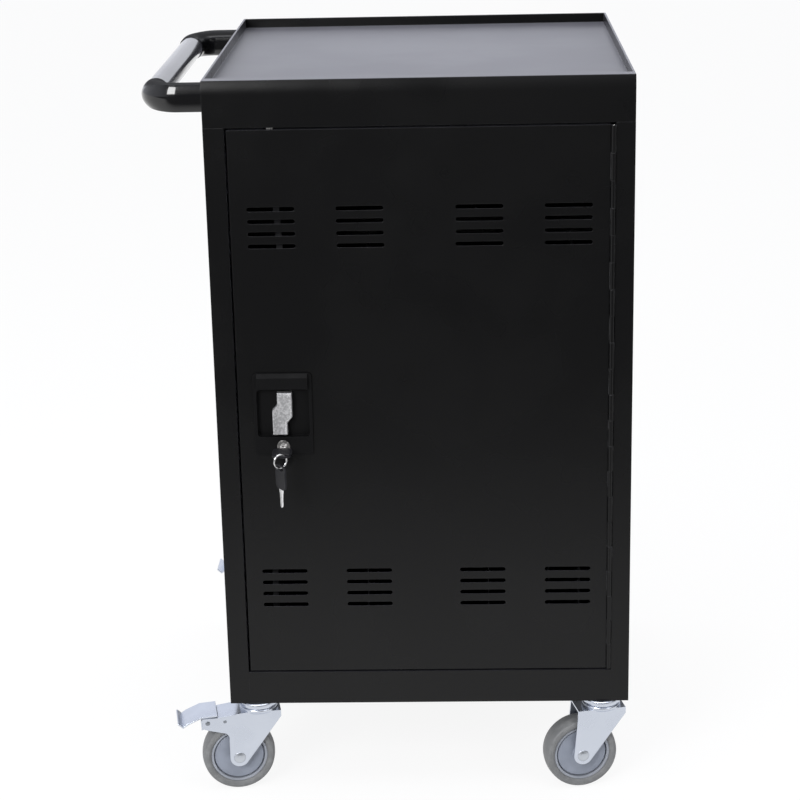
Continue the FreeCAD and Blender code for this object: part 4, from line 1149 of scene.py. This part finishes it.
@dataclass
class ShadeCurtains:
    """Dark slit strips on the partition's cable slots: a painted shade, so that the white surroundings don't show
    through the slots.
    """

    finishes: Finishes
    node: str = "partition"
    columns: int = 4
    levels: tuple[float, ...] = (340.0, 708.0)
    strips: int = 9
    strip_width: float = 10.6
    strip_height: float = 30.0
    thickness: float = 1.2
    bow: float = 1.6
    bow_shares: tuple[float, ...] = (0.0, 0.15, 0.35, 0.6, 0.85, 1.0)
    gap: float = 0.05

    def strip(self, left: float, face: float, level: float) -> list[list[Vector]]:
        """Sections of one strip from its root down to its tip, which bows a little away from the sheet.

        Args:
            left: Left edge of the strip, in millimetres as the rest.
            face: Where its root lies along Y.
            level: Height of its middle.

        Returns:
            The strip's loops of points.
        """
        right = left + self.strip_width
        loops = []
        for share in self.bow_shares:
            back = face - self.bow * share * share
            front = back - self.thickness
            z = level + self.strip_height * (0.5 - share)
            corners = ((left, back), (right, back), (right, front), (left, front))
            loops.append([Vector((x, y, z)) * MM for x, y in corners])
        return loops

    def build(self) -> None:
        """Build one dark curtain, a painted shade, for each cable slot."""
        low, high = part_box(self.node)
        pitch = (high.x - low.x) / MM / self.columns
        face = low.y / MM - self.gap
        for row, level in enumerate(self.levels):
            for column in range(self.columns):
                start = low.x / MM + (column + 0.5) * pitch - self.strips * self.strip_width / 2
                runs = [self.strip(start + i * self.strip_width, face, level) for i in range(self.strips)]
                mesh = skin("shade_curtain_%d_%d" % (row + 1, column + 1), *runs)
                # Dark strip moulding: painted shade where the slots would let light through.
                add_piece(mesh, body_of(self.node), self.finishes.materials["strip"])


@dataclass(frozen=True)
class Rivet:
    """Pin across a fork: its radius, the radius of its heads and how proud they stand."""

    radius: float
    head: float
    proud: float


@dataclass
class Caster:
    """Swivel caster: turned wheel, axle with round heads, race and rounded fork, with a brake on the left."""

    finishes: Finishes
    corner: str
    wheel_radius: float = 50.0
    tyre_half: float = 16.0
    tread_edge: float = 48.6
    tread_shares: tuple[float, ...] = (0.75, 0.5, 0.25, 0.06)
    mould_line: float = 0.25
    shoulder_width: float = 4.0
    shoulder_steps: int = 8
    wall_radius: float = 44.0
    # Radius of points on the tyre's wall, and how far they lie inside its widest part.
    wall_points: Points = ((41.2, 0.5), (42.6, 0.1))
    bead_rise: float = 0.8
    bead_swell: float = 1.2
    bore: float = 38.5
    ring_half: float = 13.0
    ring_edge: float = 0.5
    ring_drop: float = 0.4
    groove_out: float = 35.2
    groove_in: float = 33.6
    groove_floor: float = 7.8
    groove_edge: float = 0.7
    edge_drop: float = 0.6
    web_half: float = 11.0
    web_start: float = 13.2
    boss_half: float = 17.0
    boss_radius: float = 10.8
    boss_edge: float = 11.7
    # Radius of the boss's foot, and its rise over the web.
    boss_foot: tuple[float, float] = (12.4, 0.7)
    axle_bore: float = 4.1
    tyre_count: int = 112
    hub_count: int = 96
    fork_half: float = 20.5
    fork_edge: float = 1.0
    pedal_edge: float = 0.6
    axle_rivet: Rivet = Rivet(4.0, 8.0, 1.6)
    brake_rivet: Rivet = Rivet(2.5, 3.2, 0.7)
    arm_rivet: Rivet = Rivet(1.8, 2.3, 0.5)
    # Distance from the axle towards the brake, and height.
    arm_rivet_place: tuple[float, float] = (18.0, 106.0)
    # Shares of a head's radius and of its height, from the middle out.
    rivet_dome: Points = ((0.0, 0.98), (0.36, 0.95), (0.5, 0.84), (0.7, 0.52), (0.9, 0.2), (1.0, 0.04))
    rivet_count: int = 48
    # Radius and height over the floor: foot inside the fork, neck, rolled race, stem.
    race_profile: Points = (
        (AXIS_RADIUS, 111.1), (9.0, 111.1), (9.0, 114.1), (6.0, 114.1),
        (6.0, 121.8), (24.2, 121.8), (25.6, 122.2), (26.6, 123.2), (27.0, 124.6),
        (27.0, 127.2), (26.5, 128.8), (25.4, 129.7), (24.5, 130.0), (6.0, 130.0),
        (6.0, 143.6), (5.4, 144.0), (AXIS_RADIUS, 144.0),
    )

    def node(self, piece: str) -> str:
        """CAD node of one of this caster's pieces."""
        return "%s_caster_%s" % (self.corner, piece)

    def add(self, mesh: bpy.types.Mesh, piece: str, slot: str, finish: bpy.types.Material | None = None) -> None:
        """Add a mesh that stands for one of the caster's nodes."""
        node = self.node(piece)
        add_piece(mesh, body_of(node), finish or self.finishes.materials[slot], [node])

    def wheel_axis(self) -> tuple[Vector, Vector]:
        """Centre and direction of the axle."""
        joint = joint_named(self.corner + "_wheel_spin")
        return Vector(joint["pos_m"]), Vector(joint["axis"]).normalized()

    def tyre(self) -> bpy.types.Mesh:
        """Tyre with round shoulders, a crowned tread and the fine line that its mould leaves.

        Returns:
            The tyre's mesh.
        """
        half, edge, wall = self.tyre_half, self.tread_edge, self.wall_radius
        flat = half - self.shoulder_width
        outer = [(self.bore, self.ring_half)]
        outer.append((self.bore + self.bead_rise, self.ring_half + self.bead_swell))
        outer += [(radius, half - inside) for radius, inside in self.wall_points]
        for i in range(self.shoulder_steps + 1):
            turn = math.radians(90 * i / self.shoulder_steps)
            outer.append((wall + (edge - wall) * math.sin(turn), flat + self.shoulder_width * math.cos(turn)))
        crown = self.wheel_radius - edge
        outer += [(edge + crown * (1 - share * share), flat * share) for share in self.tread_shares]
        outer.append((self.wheel_radius, self.mould_line))
        centre, axis = self.wheel_axis()
        name = self.node("tyre_rubber")
        return lathe(name, mirrored(outer), centre, axis, looped=True, count=self.tyre_count)

    def hub(self) -> tuple[bpy.types.Mesh, bpy.types.Mesh]:
        """Wheel centre with its boss and groove, and the pale ring under the tyre.

        Returns:
            The meshes of the centre and of the ring.
        """
        foot_radius, foot_rise = self.boss_foot
        web = [
            (self.axle_bore, self.boss_half),
            (self.boss_radius, self.boss_half),
            (self.boss_edge, self.boss_half - self.edge_drop),
            (foot_radius, self.web_half + foot_rise),
            (self.web_start, self.web_half),
            (self.groove_in - self.groove_edge, self.web_half),
            (self.groove_in, self.web_half - self.edge_drop),
            (self.groove_in, self.groove_floor),
            (self.groove_out, self.groove_floor),
        ]
        ring = [
            (self.groove_out, self.groove_floor),
            (self.groove_out, self.ring_half - self.ring_edge),
            (self.groove_out + self.ring_edge, self.ring_half),
            (self.bore - self.ring_edge, self.ring_half),
            (self.bore, self.ring_half - self.ring_drop),
        ]
        centre, axis = self.wheel_axis()
        shapes = (("hub_web", web), ("hub_ring", ring))
        middle, rim = (
            lathe(self.node(name), mirrored(half), centre, axis, looped=True, count=self.hub_count)
            for name, half in shapes
        )
        return middle, rim

    def pin(self, piece: str, centre: Vector, size: Rivet) -> bpy.types.Mesh:
        """Riveted pin across the fork with a low round head on each side.

        Args:
            piece: Piece that the pin is.
            centre: Middle of the pin.
            size: Sizes of the pin and its heads.

        Returns:
            The pin's mesh.
        """
        face = self.fork_half
        half = [(max(size.head * out, AXIS_RADIUS), face + size.proud * up) for out, up in self.rivet_dome]
        half.append((size.radius, face))
        return lathe(self.node(piece), mirrored(half), centre, self.wheel_axis()[1], count=self.rivet_count)

    def race(self) -> bpy.types.Mesh:
        """Stem with its pressed upper race: a rolled edge over a shallow waist.

        Returns:
            The stem's mesh.
        """
        low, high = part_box(self.node("stem"))
        centre = Vector(((low.x + high.x) / 2, (low.y + high.y) / 2, 0))
        return lathe(self.node("stem_race"), list(self.race_profile), centre, Vector((0, 0, 1)))

    def build_brake(self) -> None:
        """Build the brake's pin and pedal, and the rivet beside them."""
        centre = self.wheel_axis()[0]
        pivot = Vector(joint_named(self.corner + "_brake_press")["pos_m"])
        pin = self.pin("brake_rivet", pivot, self.brake_rivet)
        self.add(pin, "brake_pin", "plated_steel", self.finishes.pin)
        lead = Vector((pivot.x - centre.x, pivot.y - centre.y, 0)).normalized()
        ahead, level = self.arm_rivet_place
        spot = Vector((centre.x, centre.y, 0)) + (lead * ahead + Vector((0, 0, level))) * MM
        rivet = self.pin("arm_rivet", spot, self.arm_rivet)
        add_piece(rivet, body_of(self.node("fork")), self.finishes.pin)
        pedal = softened(self.node("brake_tread"), open_copy(self.node("brake_pedal")), self.pedal_edge)
        self.add(pedal, "brake_pedal", "plated_steel")

    def build(self) -> None:
        """Build every piece of this caster."""
        self.add(self.tyre(), "tyre", "tyre")
        web, ring = self.hub()
        self.add(web, "hub", "hub")
        self.add(ring, "hub", "hub", self.finishes.rim)
        axle = self.pin("axle_rivet", self.wheel_axis()[0], self.axle_rivet)
        self.add(axle, "axle", "plated_steel", self.finishes.axle)
        self.add(self.race(), "stem", "plated_steel")
        fork = softened(self.node("fork_pressing"), open_copy(self.node("fork")), self.fork_edge)
        self.add(fork, "fork", "plated_steel")
        if self.corner.endswith("left"):
            self.build_brake()


@dataclass(frozen=True)
class Softbox:
    """Rectangular soft light. Its place and aim are set out from under the middle of the cabinet's front."""

    name: str
    place: Place
    aim: Place
    size: Span
    power: float

    def build(self, origin: Vector) -> None:
        """Hang the light.

        Args:
            origin: Point that its place and aim are set out from.
        """
        data = bpy.data.lights.new(self.name, "AREA")
        data.shape = "RECTANGLE"
        data.size, data.size_y = self.size
        data.energy = self.power
        lamp = bpy.data.objects.new(self.name, data)
        start = origin + Vector(self.place)
        way = origin + Vector(self.aim) - start
        lamp.visible_camera = False
        lamp.matrix_world = Matrix.Translation(start) @ way.to_track_quat("-Z", "Y").to_matrix().to_4x4()
        bpy.context.collection.objects.link(lamp)


@dataclass
class Studio:
    """Pale floor, soft lights, white surroundings and the camera at the photograph's view."""

    eye: Place = (0.0536, -2.6101, 1.4027)
    pitch: float = 0.31168
    yaw: float = 0.03217
    roll: float = -0.02192
    focal_px: float = 2116.4
    image_px: float = 800.0
    sensor_mm: float = 36.0
    far_clip: float = 100.0
    floor_size: float = 60.0
    floor_colour: Colour = (0.88, 0.88, 0.88)
    floor_roughness: float = 0.9
    floor_specular: float = 0.1
    floor_white: float = 0.90
    # The floor's glow in reflections fades in front of the cart, and farther out on the left.
    fade_span: Span = (0.6, 2.1)
    fade_depth: float = 0.88
    aside_span: Span = (-0.5, -4.5)
    aside_reach: float = 3.4
    # Parts of the surroundings by direction: white backdrop and ceiling, dark flags, panel on the left.
    backdrop_span: Span = (-0.25, 0.45)
    ceiling_span: Span = (0.35, 0.9)
    flag_span: Span = (0.5, 0.85)
    flag_level: float = 0.15
    panel_span: Span = (0.2, 0.95)
    panel_level: float = 0.7
    room_level: float = 0.06
    sky_colour: Colour = (0.91, 0.93, 1.0)
    sky_white: float = 0.97
    softboxes: tuple[Softbox, ...] = (
        Softbox("left_softbox", (-1.42, -2.53, 2.04), (-0.31, 0.04, 0.96), (1.22, 1.35), 74.0),
        Softbox("right_softbox", (2.1, -1.9, 1.6), (0.0, 0.2, 0.5), (1.2, 1.2), 16.0),
        Softbox("overhead_softbox", (0.0, 0.1, 3.2), (0.0, 0.1, 0.0), (2.4, 2.5), 50.0),
    )

    def front_middle(self) -> Vector:
        """Point on the floor under the middle of the cabinet's front face."""
        low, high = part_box("left_side")[0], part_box("right_side")[1]
        return Vector(((low.x + high.x) / 2, low.y, 0.0))

    def add_camera(self) -> None:
        """Camera fitted to the photograph, set out from the cabinet's front face."""
        data = bpy.data.cameras.new("photo_camera")
        data.sensor_width = self.sensor_mm
        data.lens = self.focal_px / self.image_px * self.sensor_mm
        data.clip_end = self.far_clip
        camera = bpy.data.objects.new("photo_camera", data)
        turn = (
            Matrix.Rotation(-self.roll, 3, "Y").transposed()
            @ Matrix.Rotation(-self.pitch, 3, "X").transposed()
            @ Matrix.Rotation(self.yaw, 3, "Z").transposed()
        )
        right, forward, up = turn[0], turn[1], turn[2]
        basis = Matrix((right, up, -forward)).transposed()
        camera.matrix_world = Matrix.Translation(self.front_middle() + Vector(self.eye)) @ basis.to_4x4()
        bpy.context.collection.objects.link(camera)
        bpy.context.scene.camera = camera

    def floor_material(self) -> bpy.types.Material:
        """Pale floor that reads as white to the camera and keeps the cart's shadow.

        Returns:
            The floor's material.
        """
        material, g, shader = open_material("pale_floor")
        set_shader(shader, Base_Color=opaque(self.floor_colour))
        set_shader(shader, Roughness=self.floor_roughness, Specular_IOR_Level=self.floor_specular)
        path = g.add("LightPath").outputs
        place = g.add("SeparateXYZ", {0: g.place()}).outputs
        aside = g.ramp(place["X"], *self.aside_span, 0.0, self.aside_reach)
        away = g.math("MULTIPLY", g.math("ADD", place["Y"], aside), -1.0)
        fading = g.ramp(away, *self.fade_span, 0.0, self.fade_depth)
        strength = g.math("SUBTRACT", 1.0, g.math("MULTIPLY", path["Is Glossy Ray"], fading))
        glow = g.add("Emission", {"Color": opaque(WHITE), "Strength": strength})
        seen = g.math("MAXIMUM", path["Is Camera Ray"], path["Is Transmission Ray"])
        seen = g.math("MAXIMUM", g.math("MULTIPLY", seen, self.floor_white), path["Is Glossy Ray"])
        mixed = g.add("MixShader", {0: seen, 1: shader.outputs[0], 2: glow.outputs[0]})
        output = next(node for node in g.tree.nodes if node.type == "OUTPUT_MATERIAL")
        g.feed(output.inputs["Surface"], mixed.outputs[0])
        return material

    def add_floor(self) -> None:
        """Lay the floor."""
        mesh = bpy.data.meshes.new("floor")
        half = self.floor_size / 2
        corners = [(-half, -half, 0), (half, -half, 0), (half, half, 0), (-half, half, 0)]
        mesh.from_pydata(corners, [], [(0, 1, 2, 3)])
        floor = bpy.data.objects.new("floor", mesh)
        bpy.context.collection.objects.link(floor)
        mesh.materials.append(self.floor_material())

    def add_world(self) -> None:
        """Surroundings, plain white to the camera, which light the cart and show in its gloss."""
        world = bpy.data.worlds.new("studio")
        world.use_nodes = True
        world.node_tree.nodes.clear()
        g = Graph(world.node_tree)
        way = g.add("SeparateXYZ", {0: g.add("TexCoord").outputs["Generated"]}).outputs
        behind = g.ramp(way["Y"], *self.backdrop_span)
        above = g.ramp(way["Z"], *self.ceiling_span)
        flags = g.ramp(g.math("ABSOLUTE", way["X"]), *self.flag_span, 1.0, self.flag_level)
        panel = g.ramp(g.math("MULTIPLY", way["X"], -1.0), *self.panel_span, 0.0, self.panel_level)
        lit = g.math("MAXIMUM", g.math("MULTIPLY", behind, flags), g.math("MAXIMUM", above, panel))
        strength = g.ramp(lit, 0.0, 1.0, self.room_level, 1.0)
        sky = g.add("Background", {"Color": opaque(self.sky_colour), "Strength": strength})
        plain = g.add("Background", {"Color": opaque(WHITE), "Strength": self.sky_white})
        seen = g.add("LightPath").outputs["Is Camera Ray"]
        mixed = g.add("MixShader", {0: seen, 1: sky.outputs[0], 2: plain.outputs[0]})
        g.add("OutputWorld", {"Surface": mixed.outputs[0]})
        bpy.context.scene.world = world

    def build(self) -> None:
        """Set up the whole studio."""
        bpy.context.scene.view_settings.view_transform = "Standard"
        self.add_camera()
        self.add_floor()
        self.add_world()
        for softbox in self.softboxes:
            softbox.build(self.front_middle())


def main() -> None:
    """Dress the cart and set up the studio."""
    logging.basicConfig(level=logging.INFO, format="%(name)s: %(message)s")
    finishes = Finishes()
    finishes.dress_nodes()
    TopCover(finishes).build()
    PushHandle(finishes).build()
    TurnGrip(finishes).build()
    KeySet(finishes).build()
    ShadeCurtains(finishes).build()
    for corner in ("front_left", "front_right", "rear_left", "rear_right"):
        Caster(finishes, corner).build()
    Studio().build()


if __name__ == "__main__":
    main()
